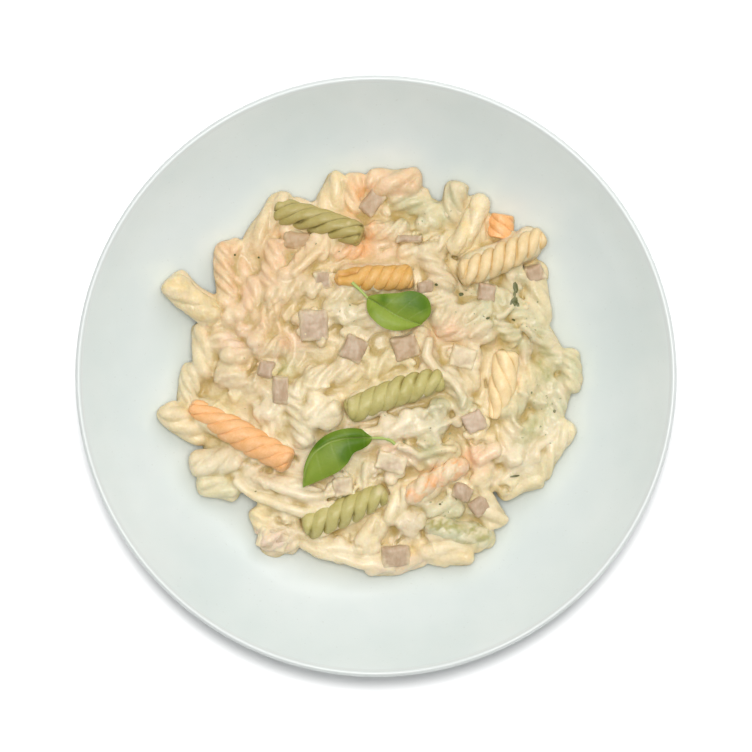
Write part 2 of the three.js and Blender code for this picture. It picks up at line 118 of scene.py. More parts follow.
# Sauce-covered twists: [x, y, heading in degrees, length, radius, dough, lead, lift].
COATED_TWISTS = [
    # the left side, from the top down
    [-46, 64, 59, 31, 5.0, "plain", 60, -1.6], [-61, 52, 20, 12, 5.0, "peach", 24, -1.6],
    [-62.5, 43, 97, 26, 5.4, "peach", 26, -1.6], [-52, 34, 78, 16, 4.8, "pink", 40, -1.6],
    [-59, 25.5, 40, 15, 4.4, "plain", 50, -1.6], [-72, 11, 92, 24, 5.6, "plain", 44, -1.6],
    [-61, 12, -35, 20, 5.6, "peach", 24, -1.6], [-78, -4, 76, 19, 5.0, "plain", 24, -1.6],
    [-81, -20, -36, 24, 5.6, "yellow", 34, -1.6], [-67, -36, 4, 23, 6.2, "plain", 36, -1.6],
    [-66, -46.5, -14, 18, 5.0, "green", 40, -1.6],
    # along the bottom
    [-38, -46, -17, 38, 5.0, "plain", 60, -1.6], [-34, -54, -14, 32, 4.8, "plain", 70, -1.6],
    [-48, -60, -75, 12, 5.2, "yellow", 24, -1.6], [-41, -69, -10, 17, 5.6, "pink", 24, -1.6],
    [-13, -74, -15, 36, 5.6, "plain", 70, -1.6], [8, -78, 12, 26, 5.4, "pink", 40, -1.6],
    [28.5, -74, -8, 25, 5.4, "yellow", 60, -1.6], [41, -69, 8, 18, 5.2, "green", 26, -1.6],
    [47, -56, -60, 18, 5.6, "plain", 34, -1.6],
    # the right side, from the bottom up
    [60, -45, 18, 20, 5.0, "plain", 50, -1.6], [61, -33, 20, 17, 7.2, "plain", 60, -1.6],
    [74, -31, 56, 28, 5.4, "plain", 30, -1.6], [75, -12, 76, 24, 5.4, "green", 22, -1.6],
    [81.5, 2.5, 97, 19, 5.2, "green", 18, -1.6], [71, 14, -58, 26, 5.4, "green", 22, -1.6],
    [67.5, 33, 98, 26, 5.2, "plain", 40, -1.6],
    # along the top
    [33, 73, 80, 18, 5.2, "plain", 30, -1.6], [17, 72, -24, 26, 5.6, "green", 24, -1.6],
    [7, 81, 2, 24, 6.6, "peach", 40, -1.6], [-9, 77, 80, 18, 5.0, "orange", 26, -1.6],
    [-18, 76.5, 68, 19, 5.0, "plain", 34, -1.6],
    # across the crown
    [-43, 47, 84, 22, 5.8, "peach", 24, -1.6], [-34, 36, 12, 28, 5.6, "plain", 24, -1.6],
    [25, 44, -58, 24, 5.6, "plain", 26, -1.6], [36, 25, 8, 28, 5.8, "plain", 26, -1.6],
    [61, -6, 60, 26, 5.8, "plain", 30, -1.6], [16, -21, 8, 32, 5.8, "plain", 40, -1.6],
    [-23, -15, 14, 18, 6.2, "plain", 60, -0.6], [-32, -17, -74, 28, 5.4, "plain", 24, -1.6],
    [-57, -2, -14, 22, 5.6, "plain", 30, -1.6], [-1, 24, -12, 18, 5.6, "plain", 30, -1.6],
    # between them
    [-29, 50, 52, 22, 4.6, "yellow", 28, -1.0], [-22, 55, 54, 14, 4.6, "plain", 30, -0.6],
    [-12, 52, 8, 16, 5.0, "orange", 26, -3.4], [-12, 34, 10, 18, 5.0, "plain", 26, -2.6],
    [-15, 26, -24, 16, 5.0, "green", 22, -1.8], [-45, 25, 62, 15, 4.8, "peach", 24, -2.0],
    [-44, 12, 12, 16, 5.0, "peach", 22, -1.8], [-52, 18, -30, 16, 5.0, "peach", 26, -2.4],
    [-60, 2, -62, 14, 5.0, "plain", 26, -1.6], [-18, 1, 6, 24, 5.2, "plain", 26, -2.2],
    [-27, -4, 24, 16, 5.0, "plain", 24, -2.0], [2, 5, 32, 20, 5.0, "plain", 26, -2.4],
    [21, 11, 112, 22, 4.8, "peach", 22, -2.2], [33, -5, 118, 22, 5.0, "green", 18, -1.6],
    [37, 18, -8, 26, 5.2, "peach", 26, -1.8], [54, 19, -46, 17, 5.0, "green", 20, -1.8],
    [62, 7, 68, 19, 5.0, "pink", 34, -2.6], [52, 30, 66, 14, 5.2, "green", 18, -1.6],
    [43, 27, 34, 20, 5.0, "green", 22, -1.8], [26, 32, -22, 18, 5.0, "plain", 26, -2.2],
    [19, 50, -10, 22, 5.0, "yellow", 30, -3.2], [28, 56, 32, 16, 4.8, "plain", 30, -1.4],
    [5, 61, 6, 20, 5.0, "plain", 24, -2.2], [24, -21, 74, 24, 5.4, "green", 22, -1.0],
    [14, -34, -6, 22, 5.0, "peach", 26, -1.8], [27, -33, 22, 18, 4.8, "green", 26, -1.8],
    [46, -32, 18, 14, 6.0, "peach", 60, -1.4], [44, -25.5, 2, 13, 4.2, "yellow", 60, -0.6],
    [28.5, -55, -3, 18, 5.0, "green", 40, -1.0], [15, -61, 22, 13, 5.2, "plain", 50, -1.4],
    [-3, -66, 48, 20, 5.4, "plain", 60, -1.8], [9, -54, 62, 18, 5.0, "plain", 40, -1.8],
    [-45, -14, 22, 13, 5.0, "plain", 30, -1.2], [-43, -21, 58, 14, 4.8, "yellow", 22, -2.2],
    [-53, -7, 18, 18, 5.0, "plain", 40, -2.4], [-51, -38, -18, 18, 4.8, "plain", 34, -3.2],
    [-21, -38, 20, 16, 5.0, "plain", 30, -2.6], [-3, -42, 60, 14, 4.8, "plain", 30, -2.8],
    [66, -22, 44, 20, 5.2, "green", 20, -1.6], [56, -24, 82, 16, 5.0, "plain", 22, -2.0],
    [69, -3, 82, 22, 5.0, "green", 20, -2.0], [44, -43, 78, 16, 4.8, "plain", 34, -1.8],
    [61, 25, -44, 20, 5.0, "green", 20, -2.0], [57, 38, 80, 14, 4.6, "green", 30, -3.0],
    [-30, 66, -18, 30, 4.8, "yellow", 30, -3.0], [46, 50, 24, 24, 4.8, "plain", 30, -3.2],
    [2, -24, 4, 20, 4.8, "plain", 50, -1.4], [40, 2, 84, 18, 4.8, "plain", 34, -2.2],
    [-10, -27, -10, 20, 4.8, "plain", 34, -3.0], [-46, 57, 60, 20, 4.6, "yellow", 60, -3.0],
    [-55, 46, 80, 18, 5.0, "peach", 30, -3.0], [-40, -60, 10, 16, 5.0, "yellow", 26, -3.0],
    [-33, -66, -30, 16, 5.0, "plain", 40, -3.0], [-58, -33, -20, 18, 5.0, "plain", 34, -2.6],
    [-74, -18, -30, 18, 5.0, "yellow", 26, -2.6], [-52, -46, -24, 20, 5.0, "plain", 44, -2.6],
    [53, -42, 20, 14, 5.0, "plain", 44, -2.6], [12, -68, 30, 14, 4.8, "plain", 30, -3.2],
    [-22, 70, 20, 16, 4.8, "plain", 30, -3.0], [42, 60, 70, 20, 4.8, "yellow", 30, -3.4],
    [25, 65, 20, 18, 4.8, "green", 24, -1.8], [46, 56.5, 60, 12, 4.0, "peach", 24, -5.0],
    [-68, 25, -40, 14, 4.8, "plain", 30, -1.6],
]

# Long smooth folds of sauce: [radius, (x, y), ...].
SAUCE_FOLDS = [
    [2.3, (-58, -45), (-50, -50), (-40, -54), (-30, -57), (-16, -54)],
    [2.0, (-50, -42), (-40, -47), (-30, -50), (-20, -50)],
    [2.4, (-30, -71), (-18, -76), (-6, -79), (8, -80)],
    [1.8, (40, 17), (44, 19.5), (48, 22)],
    [1.9, (22, 15), (21, 9), (25, 3), (29, -1)],
    [1.8, (29, 0), (33, -4), (36, -9), (36, -13)],
    [1.9, (-34, 42), (-28, 49), (-21, 57)],
    [1.8, (56, 33), (57, 29), (54, 26), (50, 25)],
    [1.7, (62, 20), (67, 15), (74, 12)],
    [2.0, (68, -30), (74, -24), (78, -18)],
    [1.8, (10, -30), (18, -34), (26, -31), (33, -31)],
]

# Places where the sauce closes a gap between the pieces: [x, y, radius, how deep it sinks in radii].
HOLES_FILLED = [
    [-68, -27, 5.0, 0.1], [61.5, 34, 4.0, 0.1], [-49.6, 46.3, 4.0, 0.0], [-37.8, 42, 3.6, 0.0],
    [-60.7, 18.6, 4.0, 0.0], [-50.6, 25, 4.0, 0.0], [-63.4, 30.5, 4.2, 0.0], [-36.7, 61.3, 3.6, 0.1],
    [74.8, 1.3, 4.5, 0.1], [37, -57.9, 3.6, 0.1], [-61.5, 8, 4.0, 0.0], [-50, 15, 4.0, 0.1],
]

# How many small lumps and strings of sauce lie over the heap.
CURDS = {"lumps": 16, "strings": 34}

# How much darker the far side of the heap is painted in each colour: painted shade.
FAR_SIDE_SHADE = (0.952, 0.925, 0.895)

# Soft mounds of sauce: [x, y, radius, height above the mound].
SAUCE_LUMPS = [
    [-24, -15, 6.5, 3.0], [-67, -36, 5.0, 3.0], [62, -34, 7.4, 2.8], [-60, 26, 4.6, 3.0], [17, -18, 5.5, 2.4],
    [5, -22, 5.0, 2.4], [-46, -14, 4.2, 2.8], [-14, -73, 4.5, 1.6], [-3, -70, 4.6, 1.6], [27, -74, 5.0, 1.8],
    [15, -62, 4.6, 2.4], [-25, 55, 3.8, 3.0], [20, 75, 3.6, 2.8], [24, 66, 3.8, 2.4], [-12, 26, 4.0, 2.2],
    [-84, -16, 4.2, 1.5], [47, -57, 4.4, 2.0], [44, -43, 4.0, 2.2], [72, -24, 3.6, 2.2], [61, -24, 3.6, 2.6],
    [74, -4, 3.6, 2.4], [58.5, 43.0, 4.0, 1.6], [-40, 36, 4.2, 2.6], [-28, 37, 4.0, 2.6], [33, 26, 4.4, 2.4],
]

# Deep gaps between the pieces, sunk and painted dark as shade: [x, y, heading in degrees, half length, half width,
# how deep].
CREVICES = [
    [-31.5, 30, 62, 5.0, 1.2, 0.5], [-37.5, 22, -40, 3.5, 1.6, 0.6], [-51.7, 2.6, 70, 4.2, 1.9, 0.95],
    [-44, 28, 40, 3.0, 1.2, 0.5], [22, 56.5, -20, 4.5, 1.0, 0.6], [3.5, 53.8, 20, 2.5, 1.4, 0.5],
    [29.6, 48.5, 60, 3.5, 1.2, 0.4], [46.2, -3.0, 75, 2.4, 0.9, 0.95], [37.4, -21, 80, 1.8, 0.9, 0.95],
    [41.2, -12.4, 10, 3.0, 0.8, 0.7], [42.3, -28, -5, 4.0, 0.8, 0.7], [11.5, -28, 30, 1.6, 1.2, 0.8],
    [9.4, -69, 60, 2.6, 1.5, 1.0], [40, -62.5, 70, 3.0, 1.2, 0.8], [54, -46.7, -30, 2.5, 1.4, 0.8],
    [-38.1, -7, 60, 2.0, 1.0, 0.7], [-52, -36.8, -20, 3.0, 1.4, 0.7], [-45.6, -39, 20, 2.5, 1.4, 0.8],
    [-35, -34.7, 0, 3.0, 1.4, 0.6], [-39.2, -61.4, -25, 4.5, 1.0, 0.7], [1.3, -41, 35, 4.0, 1.4, 0.7],
    [-9.4, -70, -50, 3.5, 1.0, 0.5], [-57, 33, 80, 2.5, 1.0, 0.5], [15, 61, 10, 2.5, 1.0, 0.7],
]

# Where the dough of the pieces below shows through the sauce, and where shade and light are painted on it: [x, y,
# radius, dough, how strongly].
DOUGH_SHOWING = [
    # the left side
    [-59, 48, 7, "peach", 0.8], [-41, 48, 8, "peach", 0.8], [-54, 34, 7, "peach", 0.7], [-59, 17, 7, "pink", 0.8],
    # The tan rows are painted shade, where gaps and hollows lie in shadow.
    [-48, 22, 7, "peach", 0.7], [-41, 22, 5, "tan_shade", 0.7], [-48, 56, 6, "tan_shade", 0.6], [-27, 48, 7, "yellow", 0.5],
    [-38, 3, 5, "leaf", 0.8], [-51, 3, 5, "tan_shade", 0.8], [-12, 28, 8, "sage", 0.6], [-28, 36, 8, "sage", 0.3],
    [-35, -23, 8, "sage", 0.5], [-49, -7, 7, "tan_shade", 0.5], [-68, -36, 7, "sage", 0.4], [-63, -47, 7, "sage", 0.6],
    [-47, -59, 6, "yellow", 0.7], [-41, -68, 6, "pink", 0.8], [-78, -4, 7, "sage", 0.4],
    [-80, -20, 8, "yellow", 0.4], [-32, 62, 12, "peach", 0.35], [-60, 40, 13, "peach", 0.35],
    [-36, 26, 14, "yellow", 0.3],
    # the middle and the bottom
    [-3, 59, 6, "orange", 0.8], [-6, 52, 5, "orange", 0.8], [6, 52, 7, "peach", 0.8], [25, 42, 7, "peach", 0.6],
    [-7, 36, 6, "sage", 0.5], [23, -18, 8, "sage", 0.8], [22, -31, 5, "leaf", 0.7], [4, -36, 7, "pink", 0.7],
    [-8, -39, 6, "sage", 0.6], [43, -34, 8, "peach", 0.9], [45, -24, 5, "yellow", 0.7], [20, -44, 7, "orange", 0.5],
    [29, -56, 8, "sage", 0.8], [41, -66, 8, "leaf", 0.6], [24, -73, 8, "yellow", 0.4], [8, -77, 7, "pink", 0.4],
    # the top and the right side
    [4, 82, 9, "peach", 0.7], [-6, 76, 5, "orange", 0.8], [15, 69, 8, "sage", 0.9], [30, 73, 8, "sage", 0.8],
    [47, 28, 7, "sage", 0.9], [66, 35, 8, "sage", 0.6], [68, 20, 8, "sage", 0.9], [68, 9, 6, "leaf", 0.7],
    [53, 15, 6, "leaf", 0.6], [32, 20, 6, "peach", 0.9], [36, 9, 7, "pink", 0.7], [82, 5, 7, "sage", 0.8],
    [72, 1, 5, "leaf", 0.8], [62, -12, 9, "sage", 0.6], [66, -22, 6, "leaf", 0.6], [61, -35, 8, "sage", 0.4],
    # The wide sage row at 34, 42 and the wide peach row at -38, 48 tint the far half of the heap with their dough
    # and darken it as painted shade.
    [76, -14, 8, "sage", 0.7], [31, 30, 7, "pink", 0.3], [34, 42, 26, "sage", 0.45], [-45, 40, 24, "yellow", 0.3],
    [-38, 48, 26, "peach", 0.25],
    # thick white sauce, and painted light on the nearer, lower half of the heap
    [-24, -15, 6, "milk_and_light", 0.9], [12, -20, 9, "milk_and_light", 0.8], [-35, -52, 12, "milk_and_light", 0.6], [-10, -72, 10, "milk_and_light", 0.6],
    [60, -36, 8, "milk_and_light", 0.6], [-67, -38, 7, "milk_and_light", 0.6], [46, -58, 6, "milk_and_light", 0.5], [10, -55, 8, "milk_and_light", 0.6],
    [76, -26, 8, "milk_and_light", 0.5], [4, -44, 8, "milk_and_light", 0.5], [-45, -12, 8, "milk_and_light", 0.5], [-20, -3, 9, "milk_and_light", 0.5],
    [-30, -34, 8, "milk_and_light", 0.5], [-55, -36, 8, "milk_and_light", 0.4], [30, -72, 8, "milk_and_light", 0.5], [-80, -18, 7, "milk_and_light", 0.4],
]

# Streaks of dough through the sauce: [x, y, heading in degrees, half length, half width, dough, how strongly].
DOUGH_STREAKS = [
    [29, -62.6, -9, 9.0, 1.9, "moss", 0.9], [40.5, -64.5, 55, 3.0, 1.5, "moss", 0.95],
    [44.5, -67.4, 10, 3.4, 1.8, "moss", 0.8], [36, -69.5, -12, 4.0, 0.7, "leaf", 0.4],
    [32, -57.8, -20, 4.0, 0.7, "leaf", 0.4], [13.5, -49.3, 70, 1.6, 1.1, "orange", 1.0],
    [20.8, -45.8, 75, 2.4, 0.9, "orange", 1.0], [24.0, -45.0, 60, 2.0, 1.0, "orange", 0.9],
    [27.5, -46.2, 40, 1.8, 0.8, "orange", 0.7], [27.8, -39.6, 65, 1.8, 0.7, "orange", 0.7],
    [33.6, -36.1, 30, 2.6, 0.9, "orange", 0.9], [38.5, -33.5, 20, 2.4, 0.8, "orange", 0.5],
    [-5.5, 77.5, 70, 3.0, 1.0, "orange", 0.8], [-2.5, 62, 80, 3.4, 1.2, "orange", 0.9],
    [-7, 52.5, 20, 3.0, 1.0, "orange", 0.7], [-47, 51, 60, 3.4, 0.9, "orange", 0.4],
    [-42, 47, 65, 3.0, 0.8, "orange", 0.4], [-64, 47, 80, 3.0, 0.8, "orange", 0.3],
    [32, 21.5, 70, 1.8, 0.8, "orange", 0.6], [70, 9, 70, 3.4, 1.0, "leaf", 0.8],
    [53, 16, 80, 2.6, 0.9, "leaf", 0.7], [66, -21, 80, 2.4, 1.0, "leaf", 0.7], [72, 1, 60, 3.0, 0.8, "leaf", 0.7],
    [22, -30, 80, 2.0, 0.8, "leaf", 0.7], [-38, 3, 60, 3.6, 1.6, "leaf", 0.7], [13, 67, 20, 3.0, 1.0, "leaf", 0.5],
    [17, 71.5, 0, 4.0, 0.9, "leaf", 0.4],
]

# Dabs of sauce on the bare twists: [x, y, radius, how thick].
SAUCE_DABS = [
    [-56.2, -21.6, 1.6, 0.7], [5.8, -8.7, 0.9, 0.6], [2.1, -8.5, 0.7, 0.5], [14.5, -1.9, 1.1, 0.6],
    [-5.7, -13.6, 1.5, 0.5], [-10.5, -9.5, 3.2, 0.6], [-11.5, 63.9, 1.2, 0.5], [-8.5, 62.2, 1.0, 0.5],
    [1.5, -48, 3.4, 0.6], [-43, 73, 2.4, 0.6], [36, 36, 2.0, 0.4], [70, 57, 2.4, 0.5], [56, 12, 2.6, 0.6],
    [15, 41, 2.4, 0.45], [-17, 43, 3.4, 0.5], [-29, -70, 2.6, 0.5], [52, 60, 2.0, 0.4], [-78, -10, 2.4, 0.5],
]

HAM_NODES = [f"ham_{i:02d}" for i in range(1, 22)]
# Ham dice that the sauce covers nearly all over.
SAUCED_HAM = {"ham_03": 0.35, "ham_10": 0.75, "ham_13": 0.55, "ham_14": 0.5, "ham_18": 0.45, "ham_20": 0.7}

# How brown (over 0) or pale (under 0) some dice are.
HAM_TONE = {"ham_01": 0.9, "ham_06": 0.5, "ham_09": -0.5, "ham_04": -0.2, "ham_02": 0.3, "ham_13": -0.3}

# Dice that cooking has rounded, and how much more than the others.
ROUNDED_HAM = {"ham_01": 5, "ham_05": 2, "ham_07": 2, "ham_11": 2, "ham_16": 2, "ham_21": 3}

# ---------------------------------------------------------------- settings


def colour_setting(name, description, default):
    return FloatVectorProperty(name=name, description=description, subtype="COLOR", default=default)


def length_setting(name, description, default):
    return FloatProperty(name=name, description=description, default=default, subtype="DISTANCE", unit="LENGTH")


def power_setting(name, description, default):
    return FloatProperty(name=name, description=description, default=default, subtype="POWER", unit="POWER")


def groove_setting(name, where, default, least=0.1):
    return FloatProperty(name=name, description=f"Depth of the grooves {where}, as a share of the radius",
                         default=default, min=least, max=0.7)


class BowlSettings(bpy.types.PropertyGroup):
    radius: length_setting("Radius", "From the axis to the outside of the rim", 0.1248)
    height: length_setting("Height", "From the table to the top of the rim", RIM_HEIGHT)
    turn_steps: IntProperty(name="Turn steps", description="Steps of the turned wall", default=128, min=24)
    glaze: colour_setting("Glaze", "Colour of the glaze", (0.770, 0.826, 0.815))
    glaze_deep: colour_setting("Deep glaze", "Colour where the glaze lies thick", (0.720, 0.786, 0.776))


class SauceSettings(bpy.types.PropertyGroup):
    cream: colour_setting("Cream", "Colour of the cream sauce", (0.815, 0.692, 0.458))
    # Painted shade: this darker cream is laid in the hollows and low places of the heap and low on the sauced
    # twists.
    painted_shade: colour_setting("Shade", "Colour of the sauce low on the pieces", (0.765, 0.61, 0.315))
    # Painted shade: this dark colour is laid in the folds and deep gaps of the heap, over the dough that shows
    # through thin sauce there.
    crevice_shade: colour_setting("Crevice", "Colour of thin sauce deep between the pieces", (0.44, 0.31, 0.085))
    detail: length_setting("Detail", "Size of the grid that the sauce is formed on", 0.0006)
    smoothing: IntProperty(name="Smoothing", description="How often the sauce is smoothed", default=2, min=0)


class TwistSettings(bpy.types.PropertyGroup):
    groove: groove_setting("Bare groove", "of a bare twist", 0.36)
    coated_groove: groove_setting("Coated groove", "under the sauce", 0.40)
    smoothed_groove: groove_setting("Smoothed groove", "where the sauce lies thick", 0.22, 0.0)


class HamSettings(bpy.types.PropertyGroup):
    meat: colour_setting("Meat", "Colour of the cooked ham", (0.462, 0.322, 0.203))
    pale: colour_setting("Pale meat", "Colour of its paler fibres", (0.552, 0.412, 0.276))
    edge: length_setting("Edge", "Rounding of the edges", 0.0017)


class BasilSettings(bpy.types.PropertyGroup):
    # The dark colour goes where the leaf is painted in shade, and into random blotches.
    dark: colour_setting("Dark", "Colour of the leaf's dark parts", (0.085, 0.175, 0.004))
    light: colour_setting("Light", "Colour of the leaf's light parts", (0.28, 0.366, 0.048))
    vein: colour_setting("Vein", "Colour of the midrib and veins", (0.46, 0.56, 0.18))


class StageSettings(bpy.types.PropertyGroup):
    camera_height: length_setting("Camera height", "Above the bowl's rim", 2.2)
    field: length_setting("Field", "Width of the view at the rim", 0.3118)
    key: power_setting("Key light", "Power of the soft key light", 5.67)
    top: power_setting("Top light", "Power of the soft light overhead", 17.3)
    floor: power_setting("Floor light", "Power of the light that falls on the floor alone", 184.0)
    floor_fill: power_setting("Floor fill", "Power of the wide light that falls on the floor alone", 17.0)
    sky: FloatProperty(name="Room light", description="Strength of the even light all round", default=0.20)
    glow: FloatProperty(name="Floor glow", description="How far the pale floor is lit from below", default=0.02)


SETTINGS = [("bowl_settings", BowlSettings), ("sauce_settings", SauceSettings),
            ("twist_settings", TwistSettings), ("ham_settings", HamSettings),
            ("basil_settings", BasilSettings), ("stage_settings", StageSettings)]


def settings(name):
    return getattr(bpy.context.scene, name)


# ---------------------------------------------------------------- modelling helpers


def pick(obj):
    """Makes one object the only selected one, and the active one."""
    bpy.ops.object.select_all(action="DESELECT")
    obj.select_set(True)
    bpy.context.view_layer.objects.active = obj


def finish_with(obj, kind, **values):
    """Puts a modifier on an object and applies it."""
    pick(obj)
    modifier = obj.modifiers.new(kind.title(), kind)
    for name, value in values.items():
        setattr(modifier, name, value)
    bpy.ops.object.modifier_apply(modifier=modifier.name)
    return obj


@contextmanager
def edit_mode(obj):
    """Edits one object's mesh, with all of it selected at first."""
    pick(obj)
    bpy.ops.object.mode_set(mode="EDIT")
    bpy.ops.mesh.select_all(action="SELECT")
    yield
    bpy.ops.object.mode_set(mode="OBJECT")


def new_shape(kind, **values):
    """Adds one of the basic meshes at the origin."""
    bpy.ops.object.select_all(action="DESELECT")
    getattr(bpy.ops.mesh, f"primitive_{kind}_add")(location=(0, 0, 0), **values)
    return bpy.context.object


def extrude(x, y, z):
    bpy.ops.mesh.extrude_region_move(TRANSFORM_OT_translate={"value": (x, y, z)})


def resize_flat(x, y):
    """Resizes what is selected about the vertical axis."""
    bpy.ops.transform.resize(value=(x, y, 1), center_override=(0, 0, 0))


def face_outwards():
    bpy.ops.mesh.select_all(action="SELECT")
    bpy.ops.mesh.normals_make_consistent(inside=False)


def reform(obj, grid, factor, rounds):
    """Rebuilds a mesh on an even grid and smooths it."""
    finish_with(obj, "REMESH", mode="VOXEL", voxel_size=grid)
    finish_with(obj, "SMOOTH", factor=factor, iterations=rounds)


def settle(obj):
    """Puts an object's place, turn and size into its mesh."""
    pick(obj)
    bpy.ops.object.transform_apply(location=True, rotation=True, scale=True)
    return obj


def copy_of(source, name):
    """A copy with its own mesh, linked to the scene and shown."""
    obj = source.copy()
    obj.data = source.data.copy()
    obj.name = obj.data.name = name
    obj.hide_viewport = obj.hide_render = False
    bpy.context.scene.collection.objects.link(obj)
    return obj


def copy_of_node(node, name):
    """A copy of a CAD node, free of its parent and its material."""
    obj = copy_of(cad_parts[node], name)
    obj.parent = None
    obj.data.materials.clear()
    return obj


def join(objects, name):
    bpy.ops.object.select_all(action="DESELECT")
    for obj in objects:
        obj.select_set(True)
    bpy.context.view_layer.objects.active = objects[0]
    bpy.ops.object.join()
    objects[0].name = objects[0].data.name = name
    return objects[0]


def discard(*objects):
    for obj in objects:
        mesh = obj.data
        bpy.data.objects.remove(obj)
        bpy.data.meshes.remove(mesh)


def select_where(obj, kind, test):
    """In edit mode, selects only the vertices, edges or faces that pass a test."""
    bpy.ops.mesh.select_mode(type=kind)
    bpy.ops.mesh.select_all(action="DESELECT")
    mesh = bmesh.from_edit_mesh(obj.data)
    parts = {"VERT": mesh.verts, "EDGE": mesh.edges, "FACE": mesh.faces}[kind]
    for part in parts:
        if test(part):
            part.select_set(True)
    mesh.select_flush_mode()
    bmesh.update_edit_mesh(obj.data)


def cut_sides(obj, cuts):
    """In edit mode, cuts the long sides of an upright cylinder across."""
    select_where(obj, "EDGE", lambda e: abs(e.verts[0].co.z - e.verts[1].co.z) > 0.5)
    bpy.ops.mesh.subdivide(number_cuts=cuts)


def points_of(obj, what="co"):
    """Each point's place, or its normal, as a row of three numbers."""
    values = np.empty(len(obj.data.vertices) * 3)
    obj.data.vertices.foreach_get(what, values)
    return values.reshape(-1, 3)


def set_points(obj, co):
    obj.data.vertices.foreach_set("co", np.asarray(co, float).ravel())
    obj.data.update()


def store(obj, name, values):
    """Keeps a number for each point of a piece, for its material to read."""
    values = np.broadcast_to(np.asarray(values, float), len(obj.data.vertices))
    obj.data.attributes.new(name, "FLOAT", "POINT").data.foreach_set("value", np.ascontiguousarray(values))


def ramp(x, low, high):
    t = np.clip((x - low) / (high - low), 0, 1)
    return t * t * (3 - 2 * t)


def spot(co, x, y, radius):
    """A round spot, seen from above, that fades from 1 in its middle."""
    return np.exp(-((co[:, 0] - x) ** 2 + (co[:, 1] - y) ** 2) / radius ** 2)


def blend(base, over, share):
    """Mixes a colour over others, by its own share at each point."""
    share = share[:, None]
    return base * (1 - share) + np.array(over) * share


def waves(co, chance, count, small, large):
    """The sum of some waves in random directions, small to large millimetres long."""
    total = np.zeros(len(co))
    for _ in range(count):
        wave = np.array([chance.gauss(0, 1) for _ in range(3)])
        wave *= 2 * math.pi / (chance.uniform(small, large) * np.linalg.norm(wave))
        total += np.sin(co @ wave + chance.uniform(0, 6.28))
    return total


def blotches(co, chance, small, large):
    """Soft patches from 0 to 1, small to large millimetres across, as a sum of waves in all directions."""
    return ramp(waves(co, chance, 9, small, large), -1.0, 4.0)


def about_axis(co, centre, direction, reach=None):
    """How far each point lies along a twist's axis, up to a reach, and its offset from the axis there."""
    axis = np.array(direction)
    away = co - np.array(centre)
    along = away @ axis
    if reach is not None:
        along = np.clip(along, -reach, reach)
    return along, away - along[:, None] * axis


def roughen(obj, name, size, strength):
    """Makes a surface uneven by a cloud pattern."""
    clouds = bpy.data.textures.get(name)
    if clouds is None:
        clouds = bpy.data.textures.new(name, "CLOUDS")
        clouds.noise_scale = size
        clouds.noise_depth = 2
    return finish_with(obj, "DISPLACE", texture=clouds, strength=strength, mid_level=0.5, texture_coords="LOCAL")


def put_in_scene(obj, material, angle, slot, *nodes):
    """Gives a piece its material, shades it smooth up to an angle in degrees, rides it on the body and lets it stand
    for its nodes. The slot is not used."""
    obj.data.materials.append(material)
    pick(obj)
    if angle < 180:
        bpy.ops.object.shade_smooth_by_angle(angle=math.radians(angle))
    else:
        bpy.ops.object.shade_smooth()
    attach(obj, "root")
    if nodes:
        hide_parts(*nodes)


def look_down(tree, x, y):
    """Where a line straight down at x, y, in millimetres, first meets a surface, and the normal there."""
    return tree.ray_cast(Vector((x, y, ABOVE_ALL)) * MM, -UP)[:2]


# ---------------------------------------------------------------- heights of the bowl and the mound


def bowl_z(r):
    share = max(0.0, r - FLOOR["radius"]) / WALL["run"]
    return FLOOR["height"] + WALL["rise"] * share ** WALL["power"]


def mound_z(r):
    return MOUND["top"] - MOUND["fall"] * (r / MOUND["radius"]) ** MOUND["power"]


def seat_z(x, y, radius, lift):
    """Height of the axis of a round piece that lies at x, y on the mound or the wall."""
    r = math.hypot(x, y)
    reach = radius + RESTING_GAP
    steps = [reach * i / 8 for i in range(8)]
    clear = max(bowl_z(r + s) + math.sqrt(reach ** 2 - s ** 2) for s in steps)
    return max(mound_z(r) + lift, clear)


def lie(x, y, heading, length, radius, lift):
    """Middle and direction of a round piece that lies on the mound, in millimetres."""
    a = math.radians(heading)
    along = Vector((math.cos(a), math.sin(a), 0))

    def z_at(s):
        return seat_z(x + s * along.x, y + s * along.y, radius, lift)

    low, high = z_at(-length / 2), z_at(length / 2)
    direction = Vector((along.x * length, along.y * length, high - low)).normalized()
    return Vector((x, y, max((low + high) / 2, z_at(0)))), direction


# ---------------------------------------------------------------- node groups


def group_of(name, inputs, outputs):
    """A new shader node group with named sockets, and its two end nodes."""
    group = bpy.data.node_groups.new(name, "ShaderNodeTree")
    for label, kind, value in inputs:
        socket = group.interface.new_socket(name=label, in_out="INPUT", socket_type=kind)
        if value is not None:
            socket.default_value = value
    for label, kind in outputs:
        group.interface.new_socket(name=label, in_out="OUTPUT", socket_type=kind)
    return group, group.nodes.new("NodeGroupInput"), group.nodes.new("NodeGroupOutput")


